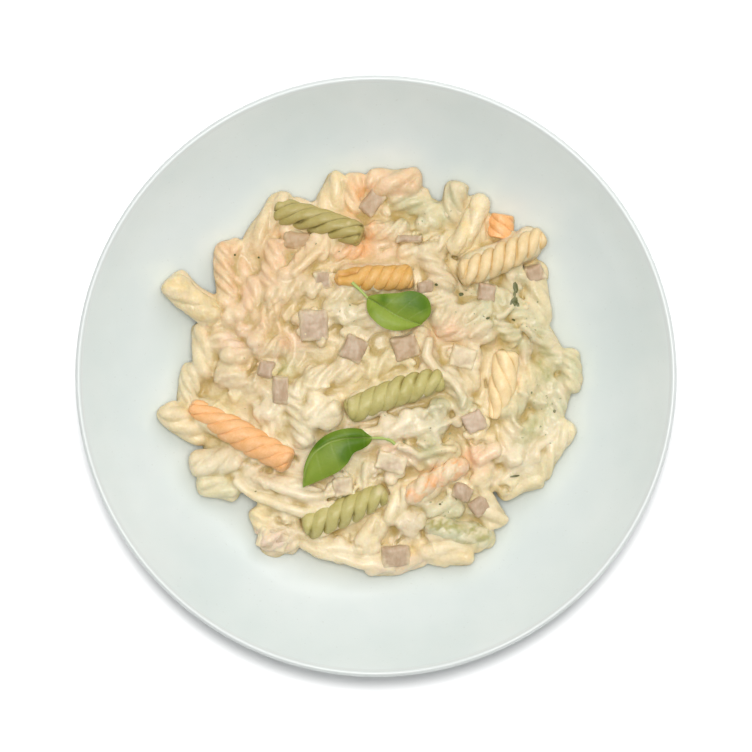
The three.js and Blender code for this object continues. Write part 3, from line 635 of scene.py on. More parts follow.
class Nodes:
    """A short way to add and link the nodes of one tree."""

    def __init__(self, tree):
        self.tree = tree

    def add(self, kind, values=None, **links):
        node = self.tree.nodes.new(kind)
        for name, value in (values or {}).items():
            if hasattr(node, name) and name not in node.inputs:
                setattr(node, name, value)
            else:
                node.inputs[name].default_value = value
        for name, source in links.items():
            self.link(source, node, name.replace("_", " "))
        return node

    def link(self, source, node, name):
        socket = source.outputs[0] if isinstance(source, bpy.types.Node) else source
        self.tree.links.new(socket, node.inputs[name])

    def place(self):
        return self.add("ShaderNodeTexCoord").outputs["Object"]

    def scaled_place(self, scale):
        node = self.add("ShaderNodeVectorMath", {"operation": "SCALE"}, Scale=scale)
        self.link(self.place(), node, 0)
        return node.outputs[0]

    def stored(self, name, output="Fac"):
        """What a piece keeps for each of its points under this name."""
        return self.add("ShaderNodeAttribute", {"attribute_name": name}).outputs[output]

    def group(self, tree, values, **links):
        return self.add("ShaderNodeGroup", {"node_tree": tree, **values}, **links)

    def noise(self, vector, scale, detail=3.0, roughness=0.55):
        values = {"Scale": scale, "Detail": detail, "Roughness": roughness}
        return self.add("ShaderNodeTexNoise", values, Vector=vector).outputs["Fac"]

    def math(self, operation, a, b=None, clamp=False):
        node = self.tree.nodes.new("ShaderNodeMath")
        node.operation = operation
        node.use_clamp = clamp
        for i, value in enumerate((a, b)):
            if value is None:
                continue
            if isinstance(value, (int, float)):
                node.inputs[i].default_value = value
            else:
                self.tree.links.new(value, node.inputs[i])
        return node.outputs[0]

    def span(self, value, from_low, from_high, to_low=0.0, to_high=1.0):
        values = {"From Min": from_low, "From Max": from_high, "To Min": to_low, "To Max": to_high}
        return self.add("ShaderNodeMapRange", values, Value=value).outputs[0]

    def mix(self, factor, a, b, blend="MIX"):
        node = self.tree.nodes.new("ShaderNodeMix")
        node.data_type = "RGBA"
        node.blend_type = blend
        for socket, value in ((node.inputs[0], factor), (node.inputs[6], a), (node.inputs[7], b)):
            if isinstance(value, (int, float)):
                socket.default_value = value
            elif isinstance(value, (tuple, list)):
                socket.default_value = (*value[:3], 1.0)
            else:
                self.tree.links.new(value, socket)
        return node.outputs[2]


def mottle_group():
    """Uneven colour and gloss of moist food: two sizes of noise in a colour, with a bump height."""
    if "Mottle" in bpy.data.node_groups:
        return bpy.data.node_groups["Mottle"]
    group, start, end = group_of(
        "Mottle",
        [("Color", "NodeSocketColor", None), ("Scale", "NodeSocketFloat", 100.0),
         ("Amount", "NodeSocketFloat", 0.1)],
        [("Color", "NodeSocketColor"), ("Height", "NodeSocketFloat"), ("Roughness", "NodeSocketFloat")])
    n = Nodes(group)
    scaled = n.scaled_place(start.outputs["Scale"])
    wide = n.noise(scaled, 1.0, 2.0)
    fine = n.noise(scaled, 6.0, 4.0, 0.6)
    both = n.math("ADD", n.math("MULTIPLY", wide, 0.6), n.math("MULTIPLY", fine, 0.4))
    swing = n.math("MULTIPLY", n.span(both, 0.3, 0.7, -1.0, 1.0), start.outputs["Amount"])
    hue = n.add("ShaderNodeHueSaturation")
    group.links.new(n.math("ADD", swing, 1.0), hue.inputs["Value"])
    group.links.new(n.math("SUBTRACT", 1.0, swing), hue.inputs["Saturation"])
    group.links.new(start.outputs["Color"], hue.inputs["Color"])
    group.links.new(hue.outputs[0], end.inputs["Color"])
    group.links.new(both, end.inputs["Height"])
    group.links.new(n.span(fine, 0.3, 0.7, 0.46, 0.68), end.inputs["Roughness"])
    return group


def smear_group():
    """Where thin sauce lies on a bare piece: a mask from its own attribute, broken up by noise."""
    if "Sauce Smear" in bpy.data.node_groups:
        return bpy.data.node_groups["Sauce Smear"]
    group, start, end = group_of(
        "Sauce Smear",
        [("Cover", "NodeSocketFloat", 0.3), ("Scale", "NodeSocketFloat", 220.0)],
        [("Mask", "NodeSocketFloat")])
    n = Nodes(group)
    patches = n.noise(n.scaled_place(start.outputs["Scale"]), 1.0, 3.0, 0.6)
    total = n.math("ADD", start.outputs["Cover"], n.math("MULTIPLY", n.math("SUBTRACT", patches, 0.5), 1.3))
    group.links.new(n.span(total, 0.30, 0.85), end.inputs["Mask"])
    return group


def new_material(name, view_colour):
    material = bpy.data.materials.new(name)
    material.use_nodes = True
    material.diffuse_color = (*view_colour[:3], 1)
    return material, Nodes(material.node_tree), material.node_tree.nodes["Principled BSDF"]


def set_sockets(shader, **values):
    for name, value in values.items():
        shader.inputs[name.replace("_", " ")].default_value = value


def add_bump(n, shader, height, distance, strength=1.0):
    bump = n.add("ShaderNodeBump", {"Distance": distance, "Strength": strength})
    n.link(height, bump, "Height")
    n.link(bump.outputs["Normal"], shader, "Normal")


# ---------------------------------------------------------------- materials


def glaze_material():
    s = settings("bowl_settings")
    material, n, shader = new_material("Bowl Glaze", s.glaze)
    place = n.place()
    cloud = n.noise(place, 22.0, 3.0)
    speck = n.noise(place, 900.0, 1.0)
    tone = n.mix(n.span(cloud, 0.35, 0.65), tuple(s.glaze), tuple(s.glaze_deep))
    tone = n.mix(n.span(speck, 0.70, 0.80, 0.0, 0.25), tone, (0.50, 0.52, 0.48))
    height = n.add("ShaderNodeSeparateXYZ", Vector=place).outputs["Z"]
    rim = n.span(height, 0.0503, 0.0514)
    tone = n.mix(rim, tone, (0.68, 0.72, 0.705))
    bare = n.span(height, 0.0006, 0.0011, 1.0, 0.0)
    tone = n.mix(bare, tone, (0.60, 0.55, 0.47))
    n.link(tone, shader, "Base Color")
    dull = n.math("ADD", n.math("MULTIPLY", bare, 0.5), n.math("MULTIPLY", rim, 0.18))
    n.link(n.math("ADD", n.span(cloud, 0.3, 0.7, 0.14, 0.24), dull), shader, "Roughness")
    add_bump(n, shader, n.noise(place, 60.0, 2.0), 0.0004, 0.35)
    set_sockets(shader, Coat_Weight=0.10, Coat_Roughness=0.15, Subsurface_Weight=0.35,
                Subsurface_Radius=(1.0, 1.0, 1.0), Subsurface_Scale=0.006)
    return material


def sauce_material():
    s = settings("sauce_settings")
    material, n, shader = new_material("Cream Sauce", s.cream)
    place = n.place()
    # The stored tint already holds the painted shade, painted light and painted highlight laid on each point.
    mottle = n.group(mottle_group(), {"Scale": 170.0, "Amount": 0.10}, Color=n.stored("tint", "Color"))
    # Grains of egg and cheese a few millimetres across, and pools of butter-yellow fat.
    curd = n.noise(place, 330.0, 2.0, 0.5)
    tone = n.mix(n.span(curd, 0.54, 0.66, 0.0, 0.16), mottle.outputs["Color"], (0.93, 0.84, 0.62))
    tone = n.mix(n.span(curd, 0.46, 0.34, 0.0, 0.12), tone, (0.66, 0.50, 0.25))
    fat = n.span(n.noise(place, 110.0, 3.0, 0.6), 0.56, 0.70, 0.0, 0.14)
    tone = n.mix(fat, tone, (0.80, 0.60, 0.27))
    n.link(tone, shader, "Base Color")
    n.link(mottle.outputs["Roughness"], shader, "Roughness")
    grain = n.math("ADD", n.noise(place, 360.0, 4.0, 0.65), n.math("MULTIPLY", n.noise(place, 1500.0, 2.0), 0.35))
    add_bump(n, shader, grain, 0.0010, 0.6)
    set_sockets(shader, Subsurface_Weight=0.35, Subsurface_Radius=(1.0, 0.6, 0.3), Subsurface_Scale=0.0016,
                Coat_Weight=0.28, Coat_Roughness=0.21)
    return material


def dough_material(name, dough, groove):
    """Bare pasta: its own colour, darker in the grooves as painted shade, with thin sauce on its lower parts."""
    cream = settings("sauce_settings").cream
    material, n, shader = new_material(name, dough)
    place = n.place()
    crest = n.stored("crest")
    # Painted shade in the grooves, broken up by noise.
    line = n.math("MULTIPLY", n.span(crest, 0.90, 0.74), n.span(n.noise(place, 160.0, 2.0), 0.35, 0.6, 0.35, 1.0))
    tone = n.mix(line, tuple(dough), tuple(groove))
    mottle = n.group(mottle_group(), {"Scale": 260.0, "Amount": 0.09}, Color=tone)
    smear = n.group(smear_group(), {"Scale": 240.0}, Cover=n.stored("sauce"))
    thin = tuple(0.6 * c + 0.4 * d for c, d in zip(cream, dough))
    tone = n.mix(smear.outputs["Mask"], mottle.outputs["Color"], thin)
    n.link(tone, shader, "Base Color")
    n.link(mottle.outputs["Roughness"], shader, "Roughness")
    add_bump(n, shader, n.noise(place, 900.0, 3.0, 0.65), 0.0003, 0.5)
    set_sockets(shader, Subsurface_Weight=0.2, Subsurface_Radius=(1.0, 0.6, 0.3), Subsurface_Scale=0.0012,
                Coat_Weight=0.2, Coat_Roughness=0.3)
    return material


def ham_material():
    s = settings("ham_settings")
    cream = tuple(settings("sauce_settings").cream)
    material, n, shader = new_material("Cooked Ham", s.meat)
    place = n.place()
    stretched = n.add("ShaderNodeMapping", {"Rotation": (0.3, 0.5, 0.6), "Scale": (1.0, 0.35, 1.0)}, Vector=place)
    fibre = n.noise(stretched.outputs[0], 520.0, 4.0, 0.6)
    tone = n.mix(n.span(fibre, 0.38, 0.62), tuple(s.meat), tuple(s.pale))
    brown = n.stored("brown")
    tone = n.mix(n.span(brown, 0.0, 1.0), tone, (0.50, 0.33, 0.17))
    tone = n.mix(n.span(brown, 0.0, -1.0), tone, (0.70, 0.54, 0.40))
    mottle = n.group(mottle_group(), {"Scale": 190.0, "Amount": 0.06}, Color=tone)
    smear = n.group(smear_group(), {"Scale": 150.0}, Cover=n.stored("sauce"))
    tone = n.mix(smear.outputs["Mask"], mottle.outputs["Color"], cream)
    n.link(tone, shader, "Base Color")
    n.link(mottle.outputs["Roughness"], shader, "Roughness")
    add_bump(n, shader, fibre, 0.0004, 0.45)
    set_sockets(shader, Subsurface_Weight=0.2, Subsurface_Radius=(1.0, 0.4, 0.3), Subsurface_Scale=0.0012,
                Coat_Weight=0.15, Coat_Roughness=0.3)
    return material


def basil_material():
    s = settings("basil_settings")
    material, n, shader = new_material("Basil Leaf", s.light)
    place = n.place()
    blotch = n.math("MULTIPLY", n.math("SUBTRACT", n.noise(place, 120.0, 3.0), 0.5), 0.7)
    # Painted shade: the stored value darkens each half and patch of the leaf, and noise adds random blotches.
    where = n.math("ADD", n.stored("painted_shade"), blotch, clamp=True)
    tone = n.mix(where, tuple(s.light), tuple(s.dark))
    vein = n.stored("vein")
    tone = n.mix(n.math("MULTIPLY", vein, 0.95), tone, tuple(s.vein))
    n.link(tone, shader, "Base Color")
    pores = n.noise(place, 1600.0, 2.0)
    n.link(n.span(pores, 0.3, 0.7, 0.36, 0.55), shader, "Roughness")
    relief = n.math("SUBTRACT", n.math("MULTIPLY", pores, 0.25), vein)
    add_bump(n, shader, relief, 0.0004, 0.6)
    set_sockets(shader, Subsurface_Weight=0.15, Subsurface_Radius=(0.4, 1.0, 0.1), Subsurface_Scale=0.0008,
                Specular_IOR_Level=0.25)
    return material


def herb_material():
    material, n, shader = new_material("Chopped Herb", (0.175, 0.19, 0.055))
    place = n.place()
    pale = n.math("ADD", n.stored("pale"), n.span(n.noise(place, 500.0, 2.0), 0.3, 0.7, -0.2, 0.2), clamp=True)
    tone = n.mix(pale, (0.078, 0.088, 0.014), (0.52, 0.49, 0.28))
    n.link(tone, shader, "Base Color")
    n.link(n.span(n.noise(place, 1200.0, 2.0), 0.3, 0.7, 0.45, 0.65), shader, "Roughness")
    return material


def floor_material():
    material, n, shader = new_material("Studio Floor", (0.95, 0.95, 0.95))
    place = n.place()
    tone = n.mix(n.span(n.noise(place, 3.0, 3.0), 0.3, 0.7), (0.74, 0.74, 0.74), (0.76, 0.76, 0.76))
    n.link(tone, shader, "Base Color")
    set_sockets(shader, Roughness=0.8, Specular_IOR_Level=0.1, Emission_Color=(1, 1, 1, 1),
                Emission_Strength=settings("stage_settings").glow)
    return material


# ---------------------------------------------------------------- the bowl


def bowl_profile(radius, height):
    """[radius, height] pairs in millimetres, from the floor's middle, over the rim, to the underside's middle."""
    lip, lip_start, raised_from = 1.3, 2.39, 92
    foot_radius, foot_wall, rim_wall = 60, 4.5, 3.4
    join_r, join_z = radius - lip + lip * math.cos(lip_start), height - lip + lip * math.sin(lip_start)
    rise = join_z - bowl_z(join_r)
    inner = [(0, FLOOR["height"])] + [(r, bowl_z(r)) for r in np.linspace(12, FLOOR["radius"], 5)]
    for r in np.linspace(49, join_r - 1.2, 24):
        share = max(0.0, (r - raised_from) / (join_r - raised_from))
        inner.append((r, bowl_z(r) + rise * share ** 2))
    turn = [math.radians(a) for a in (137, 120, 103, 86, 69, 50, 26, 2, -22)]
    edge = [(radius - lip + lip * math.cos(a), height - lip + lip * math.sin(a)) for a in turn]
    outer = []
    for share in np.linspace(0.95, 0.04, 18):
        thickness = foot_wall + (rim_wall - foot_wall) * share
        r = foot_radius + (radius - foot_radius) * share
        outer.append((r, bowl_z(r - 0.6 * thickness * share) - thickness))
    foot = [(60, 3.5), (59, 2.2), (58.2, 0.8), (57.5, 0.15), (56.8, 0), (53.2, 0), (52.5, 0.15),
            (51.8, 0.9), (51, 2.4), (50, 3.3), (48.5, 3.5), (30, 3.5), (0, 3.5)]
    return inner + edge + outer + foot


class PASTA_OT_bowl(bpy.types.Operator):
    """Turn the glazed bowl, with its rounded rim and foot ring"""
    bl_idname = "pasta.bowl"
    bl_label = "Bowl"

    def execute(self, context):
        s = settings("bowl_settings")
        profile = bowl_profile(s.radius / MM, s.height / MM)
        bowl = new_shape("plane", size=MM)
        with edit_mode(bowl):
            bpy.ops.mesh.merge(type="CENTER")
            bpy.ops.transform.translate(value=(profile[0][0] * MM, 0, profile[0][1] * MM))
            for (r0, z0), (r1, z1) in zip(profile, profile[1:]):
                extrude((r1 - r0) * MM, 0, (z1 - z0) * MM)
            bpy.ops.mesh.select_all(action="SELECT")
            bpy.ops.mesh.spin(steps=s.turn_steps, angle=2 * math.pi, center=(0, 0, 0), axis=(0, 0, 1))
            bpy.ops.mesh.select_all(action="SELECT")
            bpy.ops.mesh.remove_doubles(threshold=MERGED)
            face_outwards()
        settle(bowl)
        bowl.name = bowl.data.name = "coupe_bowl"
        put_in_scene(bowl, glaze_material(), 50, "bowl_glaze", "bowl")
        return {"FINISHED"}


# ---------------------------------------------------------------- twists


def strand_share(offset, groove, strands, roundness):
    """Radius of a section of broad strands, at an angle from the nearest crest, as a share of the whole."""
    return 1 - groove * (1 - abs(math.cos(0.5 * strands * offset)) ** roundness)


# How a rod ends, as steps of [push outwards, resize]: cut off and softened by cooking, or rounded by sauce.
CUT_END = [(0.024, 0.95), (0.020, 0.84), (0.012, 0.66), (0.002, 0.42)]
SAUCED_END = [(0.060, 0.95), (0.052, 0.82), (0.038, 0.62), (0.012, 0.36)]


def blank_rod(name, strands, points, steps, groove, end_steps, roundness=0.6):
    """A straight rod of unit length and radius along Z, with a section of strands side by side."""
    sides = 2 * points * strands
    depth = 1 - 2 * sum(push for push, _ in end_steps if push > 0)
    rod = new_shape("cylinder", vertices=sides, radius=1, depth=depth)
    rod.name = rod.data.name = name
    with edit_mode(rod):
        cut_sides(rod, steps - 1)
        sector = 2 * math.pi / strands
        for k in range(points + 1):
            offset = 2 * math.pi * k / sides
            share = strand_share(offset, groove, strands, roundness)

            def on_line(v):
                angle = math.atan2(v.co.x, v.co.y) % sector
                return abs(min(angle, sector - angle) - offset) < 0.01

            select_where(rod, "VERT", on_line)
            resize_flat(share, share)
        for end in (-1, 1):
            select_where(rod, "FACE", lambda f: f.normal.z * end > 0.9)
            for push, shrink in end_steps:
                extrude(0, 0, push * end)
                resize_flat(shrink, shrink)
    return rod


def width_at(along, widths):
    """How wide a twist is at shares of its length from 0 to 1, as a share of its width in the middle."""
    return 1 - (1 - widths[0]) * (1 - ramp(along, 0, 0.45)) - (1 - widths[1]) * ramp(along, 0.6, 1)


def twist_from(rod, name, centre, direction, length, radius, lead, bow, roll, widths=(1, 1), parted=False):
    """One left-handed twist, bowed sideways, with its middle at centre. All lengths are in millimetres."""
    obj = copy_of(rod, name)
    co = points_of(obj)
    along = np.clip(co[:, 2] + 0.5, 0, 1)
    share = width_at(along, widths)
    off = np.maximum(np.linalg.norm(co[:, :2], axis=1), 0.05)
    if parted:
        share *= off ** (4.0 * (1 - ramp(along, 0.1, 0.42)))
        straight = 2 * math.pi * length / lead * np.clip(0.3 - along, 0, 0.3)
        turned = np.array([co[:, 0] * np.cos(straight) + co[:, 1] * np.sin(straight),
                           co[:, 1] * np.cos(straight) - co[:, 0] * np.sin(straight)])
        co[:, :2] = turned.T
    co[:, :2] *= share[:, None]
    set_points(obj, co)
    obj.scale = (radius * MM, radius * MM, length * MM)
    obj.rotation_euler = (0, 0, math.radians(roll))
    settle(obj)
    finish_with(obj, "SIMPLE_DEFORM", deform_method="TWIST", deform_axis="Z", angle=-2 * math.pi * length / lead)
    if bow:
        finish_with(obj, "SIMPLE_DEFORM", deform_method="BEND", deform_axis="X", angle=8 * bow / length)
    side = UP.cross(direction).normalized()
    up = direction.cross(side)
    turn = Matrix((-up, side, direction)).transposed()
    obj.matrix_world = Matrix.Translation(centre * MM) @ turn.to_4x4()
    return settle(obj)


def axis_of(node):
    """Middle, direction and length of a long CAD node, in millimetres, with its direction towards +X."""
    co = np.unique((points_of(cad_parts[node]) / MM).round(3), axis=0)
    middle = co.mean(0)
    vectors = np.linalg.eigh(np.cov((co - middle).T))[1]
    along = vectors[:, 2] * (1 if vectors[0, 2] > 0 else -1)
    spread = (co - middle) @ along
    centre = middle + along * (spread.min() + spread.max()) / 2
    return Vector(centre), Vector(along), float(spread.max() - spread.min())


def mark_crests(obj, centre, direction, radius, length, widths):
    """Stores how far each point stands from the twist's axis, as a share of the radius there."""
    along, across = about_axis(points_of(obj) / MM, centre, direction)
    off = np.linalg.norm(across, axis=1)
    end = np.abs(along - (along.min() + along.max()) / 2)
    local = radius * width_at(np.clip(along / length + 0.5, 0, 1), widths)
    crest = np.clip(np.maximum(off / local, ramp(end, end.max() - 1.2, end.max() - 0.4)), 0, 1)
    store(obj, "crest", crest)


def ease_grooves(obj, centre, direction, radius, length, widths, zone, filled):
    """Fills the grooves by a share, but for the stretch of one side where they lie open."""
    side, start, end = zone
    along, across = about_axis(points_of(obj) / MM, centre, direction)
    off = np.maximum(np.linalg.norm(across, axis=1), 0.01)
    left = across @ np.array(UP.cross(direction).normalized())
    place = along / length
    window = ramp(place, start - 0.08, start + 0.08) * (1 - ramp(place, end - 0.02, end + 0.08))
    open_here = ramp(side * left / radius, -0.15, 0.5) * window if side else np.zeros(len(off))
    inner = ramp(0.5 - np.abs(place), 0.0, 0.06)
    eased = filled * (1 - open_here) * inner
    local = radius * width_at(np.clip(place + 0.5, 0, 1), widths)
    behind = np.clip(0.97 * local - off, 0, None)
    wanted = off + behind * (eased - 0.2 * open_here)
    on_axis = np.array(centre) + along[:, None] * np.array(direction)
    set_points(obj, (on_axis + across * (wanted / off)[:, None]) * MM)


def dab_share(co):
    """How thickly the dabs of sauce cover each point."""
    return sum(thick * spot(co, x, y, radius) for x, y, radius, thick in SAUCE_DABS)


# Each dough's colour on its crests, and its colour in its grooves darkened as painted shade, in linear light.
BARE_DOUGH = {
    "green": ((0.54, 0.475, 0.172), (0.30, 0.24, 0.05)),
    "olive": ((0.455, 0.375, 0.125), (0.13, 0.09, 0.010)),
    "orange": ((0.92, 0.505, 0.220), (0.80, 0.38, 0.13)),
    "ochre": ((0.76, 0.44, 0.130), (0.56, 0.27, 0.06)),
    "yellow": ((0.83, 0.635, 0.345), (0.62, 0.40, 0.14)),
    "straw": ((0.94, 0.72, 0.40), (0.74, 0.50, 0.20)),
}
DOUGH_SLOT = {"green": "green_pasta", "olive": "green_pasta", "sage": "green_pasta", "orange": "orange_pasta",
              "ochre": "orange_pasta", "peach": "orange_pasta", "yellow": "yellow_pasta", "straw": "yellow_pasta"}


class PASTA_OT_twists(bpy.types.Operator):
    """Form the bare green, orange and yellow twists on top of the heap"""
    bl_idname = "pasta.twists"
    bl_label = "Bare Twists"

    def execute(self, context):
        depth = settings("twist_settings").groove
        counts = {row[2] for row in BARE_TWISTS}
        rods = {n: blank_rod(f"bare_rod_{n}", n, 8, 64, depth, CUT_END, 0.42) for n in counts}
        looks = {kind: dough_material(f"{kind.title()} Dough", *pair) for kind, pair in BARE_DOUGH.items()}
        for node, kind, strands, radius, lead, bow, roll, cover, widths, zone, filled in BARE_TWISTS:
            centre, direction, length = axis_of(node)
            name = node.replace("fusillo", "twist")
            twist = twist_from(rods[strands], name, centre, direction, length, radius, lead, bow, roll, widths,
                               node in PARTED_TWISTS)
            ease_grooves(twist, centre, direction, radius, length, widths, zone, filled)
            mark_crests(twist, centre, direction, radius, length, widths)
            roughen(twist, "Dough Unevenness", 0.009, 0.0012)
            roughen(twist, "Dough Bumps", 0.0035, 0.0004)
            co = points_of(twist) / MM
            low = 1 - ramp(co[:, 2] - centre.z, -0.6 * radius, 0.35 * radius)
            store(twist, "sauce", cover + dab_share(co) + 0.42 * low)
            put_in_scene(twist, looks[kind], 180, DOUGH_SLOT[kind], node)
        discard(*rods.values())
        return {"FINISHED"}


class PASTA_OT_smoothed_twists(bpy.types.Operator):
    """Form the twists of their own that the sauce has smoothed over"""
    bl_idname = "pasta.smoothed_twists"
    bl_label = "Smoothed Twists"

    def execute(self, context):
        s = settings("twist_settings")
        rod = blank_rod("smoothed_rod", 3, 6, 48, s.smoothed_groove, SAUCED_END)
        sauce = bpy.data.materials["Cream Sauce"]
        for node, kind, flecks, radius, lead, bow, roll, shown in SMOOTHED_TWISTS:
            centre, direction, length = axis_of(node)
            name = node.replace("fusillo", "twist")
            twist = twist_from(rod, name, centre, direction, length, radius, lead, bow, roll)
            roughen(twist, "Sauce Lumps", 0.010, 0.0021)
            reform(twist, 0.0005, 0.5, 3)
            roughen(twist, "Sauce Bumps", 0.004, 0.0007)
            tint_twist(twist, centre, direction, radius, DOUGH[kind], DOUGH[flecks], shown)
            put_in_scene(twist, sauce, 180, DOUGH_SLOT[kind], node)
        discard(rod)
        return {"FINISHED"}


def tint_twist(twist, centre, direction, radius, dough, flecks, shown):
    """Colours a sauced twist: patches of its dough and flecks through the cream, and darker cream low down, which is
    painted shade.
    """
    s = settings("sauce_settings")
    co = points_of(twist) / MM
    chance = random.Random(int(abs(co[:, 0].mean()) * 7))
    tone = blend(np.array(s.cream), dough, np.clip(shown * (0.5 + 1.0 * blotches(co, chance, 5, 12)), 0, 0.9))
    off = np.linalg.norm(about_axis(co, centre, direction)[1], axis=1)
    crest = 0.25 + 0.75 * ramp(off / radius, 0.80, 0.97)
    tone = blend(tone, flecks, 0.55 * crest * ramp(blotches(co, chance, 3, 8), 0.25, 0.75))
    # Painted shade: darker cream low on the twist.
    tone = blend(tone, s.painted_shade, 0.55 * (1 - ramp(co[:, 2] - centre.z, -6, 0.5)))
    set_tint(twist, streaked(tone, co))


# ---------------------------------------------------------------- ham


class PASTA_OT_ham(bpy.types.Operator):
    """Cut the soft-edged ham dice"""
    bl_idname = "pasta.ham"
    bl_label = "Ham"

    def execute(self, context):
        s = settings("ham_settings")
        meat = ham_material()
        for node in HAM_NODES:
            die = ham_die(node, s.edge)
            roughen(die, "Ham Unevenness", 0.0065, 0.0020)
            low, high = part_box(node)
            co = points_of(die)
            level = ramp(co[:, 2], high.z - 0.0042, high.z - 0.0006)
            rim = rim_share(co, low, high)
            store(die, "sauce", SAUCED_HAM.get(node, 0.0) + 0.8 * (1 - level) + 0.45 * rim)
            store(die, "brown", HAM_TONE.get(node, 0.0))
            put_in_scene(die, meat, 180, "ham", node)
        return {"FINISHED"}


def ham_die(node, edge):
    """The node's own block, merged, with soft edges and fine faces."""
    die = copy_of_node(node, node.replace("ham", "ham_die"))
    co = points_of(die)
    middle = (co.min(0) + co.max(0)) / 2
    set_points(die, middle + (co - middle) * (1.14, 1.14, 1.08))
    with edit_mode(die):
        bpy.ops.mesh.remove_doubles(threshold=MERGED)
        bpy.ops.mesh.dissolve_limited(angle_limit=math.radians(3))
    rounder, round_step = ROUNDED_HAM.get(node, 1), 0.00014
    reform(die, 0.00045, 0.6, max(2, int(rounder * edge / round_step)))
    return die


def rim_share(co, low, high):
    """0 in the middle of a block's top and 1 at its sides."""
    middle = (np.array(low) + np.array(high)) / 2
    half = (np.array(high) - np.array(low)) / 2
    off = np.abs(co[:, :2] - middle[:2]) / half[:2]
    return ramp(off.max(axis=1), 0.50, 0.98)


# ---------------------------------------------------------------- the sauced heap


def fold_points(radius, path):
    """Places along a path, close enough together for balls of this radius to run into one roll."""
    points = []
    for (x0, y0), (x1, y1) in zip(path, path[1:]):
        steps = max(2, int(math.hypot(x1 - x0, y1 - y0) / (0.55 * radius)))
        points += [(x0 + (x1 - x0) * i / steps, y0 + (y1 - y0) * i / steps) for i in range(steps)]
    return points


def ball_at(source, centre, radius, flat=1.0):
    """A ball of sauce in the heap, in millimetres."""
    ball = copy_of(source, "sauce_lump")
    set_points(ball, (points_of(ball) * (radius, radius, radius * flat) + np.array(centre)) * MM)
    return ball


def sauce_ball(source, x, y, radius, rise, flat=0.8):
    """A ball whose top stands at a height above the mound."""
    r = math.hypot(x, y)
    top = max(mound_z(r) + rise, bowl_z(r + 0.6 * radius) + radius * flat + 0.4)
    return ball_at(source, (x, y, top - radius * flat + 1.6), radius, flat)


def uneven_lump(source, x, y, radius, rise, chance):
    """Three flat balls that run into one lump with no regular outline."""
    start, balls = chance.uniform(0, 2 * math.pi), []
    for k in range(3):
        turn, reach = start + 2.1 * k, chance.uniform(0.35, 0.7) * radius
        balls.append(sauce_ball(source, x + reach * math.cos(turn), y + reach * math.sin(turn),
                                chance.uniform(0.6, 0.95) * radius, rise - chance.uniform(0, 1.2), 0.6))
    return balls


def die_bed(source, node, chance):
    """Sauce under a die, and uneven lumps of it pushed up round its sides."""
    low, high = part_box(node)
    middle, half = (low + high) / 2 / MM, (high - low) / 2 / MM
    wide, top = (half.x + half.y) / 2, high.z / MM
    balls = [ball_at(source, (middle.x, middle.y, middle.z - 1.1 * half.z), 1.3 * wide, 0.6)]
    for k in range(8):
        turn = 2 * math.pi * (k + chance.uniform(-0.5, 0.5)) / 8
        size, reach = wide * chance.uniform(0.28, 0.62), wide * chance.uniform(0.85, 1.3)
        drop = chance.uniform(1.4, 3.2) + 0.7 * size
        x, y = middle.x + reach * math.cos(turn), middle.y + reach * math.sin(turn)
        if math.hypot(x, y) < max(62, math.hypot(middle.x, middle.y)) and chance.random() < 0.75:
            balls.append(ball_at(source, (x, y, top - drop), size, 0.7))
    return balls


def curds(heap, ball, chance):
    """Small lumps and short strings of sauce that lie all over the heap, found by looking down on it."""
    tree = BVHTree.FromObject(heap, bpy.context.evaluated_depsgraph_get())
    found, lowest = [], 0.019

    def drop(x, y, radius, sink, flat):
        hit = look_down(tree, x, y)[0]
        if hit is not None and hit.z > lowest:
            found.append(ball_at(ball, (x, y, hit.z / MM - sink * radius), radius, flat))

    for _ in range(CURDS["lumps"]):
        r, turn = 76 * math.sqrt(chance.random()), chance.uniform(0, 2 * math.pi)
        drop(r * math.cos(turn), r * math.sin(turn), chance.uniform(1.2, 2.7), 0.35, chance.uniform(0.7, 1.0))
    for _ in range(CURDS["strings"]):
        r, turn = 74 * math.sqrt(chance.random()), chance.uniform(0, 2 * math.pi)
        x, y, heading = r * math.cos(turn), r * math.sin(turn), chance.uniform(0, 2 * math.pi)
        radius, curl = chance.uniform(0.8, 1.4), chance.uniform(-0.16, 0.16)
        for _ in range(chance.randint(7, 18)):
            drop(x, y, radius, 0.1, 1.0)
            heading += curl
            x += 0.75 * math.cos(heading)
            y += 0.75 * math.sin(heading)
    for x, y, radius, sink in HOLES_FILLED:
        drop(x, y, radius, sink, 0.8)
    return found


def core_of_heap():
    """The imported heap, merged and drawn in, so that the real pieces stand out of it."""
    core = copy_of_node("pasta_heap", "heap_core")
    with edit_mode(core):
        bpy.ops.mesh.remove_doubles(threshold=MERGED)
    co = points_of(core)
    foot, height_kept = 0.0086, 0.94
    co[:, 2] = foot + height_kept * (co[:, 2] - foot)
    set_points(core, co)
    return core


def twist_beds(ball_source, rod):
    """Sauce that each bare twist and each die lies in."""
    beds = []
    for node, radius, bow in [(row[0], row[3], row[5]) for row in BARE_TWISTS + SMOOTHED_TWISTS]:
        centre, direction, length = axis_of(node)
        for drop, wider in ((3.8, 1.0), (7.0, 1.0)) + ((2.6, 2.6),) * (node in SUNK_TWISTS):
            sunk = centre - Vector((0, 0, drop))
            wall = bowl_z(math.hypot(sunk.x, sunk.y) + 0.6 * radius) + radius
            sunk.z = min(max(sunk.z, wall), centre.z - wider - 2.2)
            beds.append(twist_from(rod, "bed", sunk, direction, length * 0.97, radius + wider, 400, bow, 0))
    chance = random.Random(29)
    for node in HAM_NODES:
        beds += die_bed(ball_source, node, chance)
    return beds


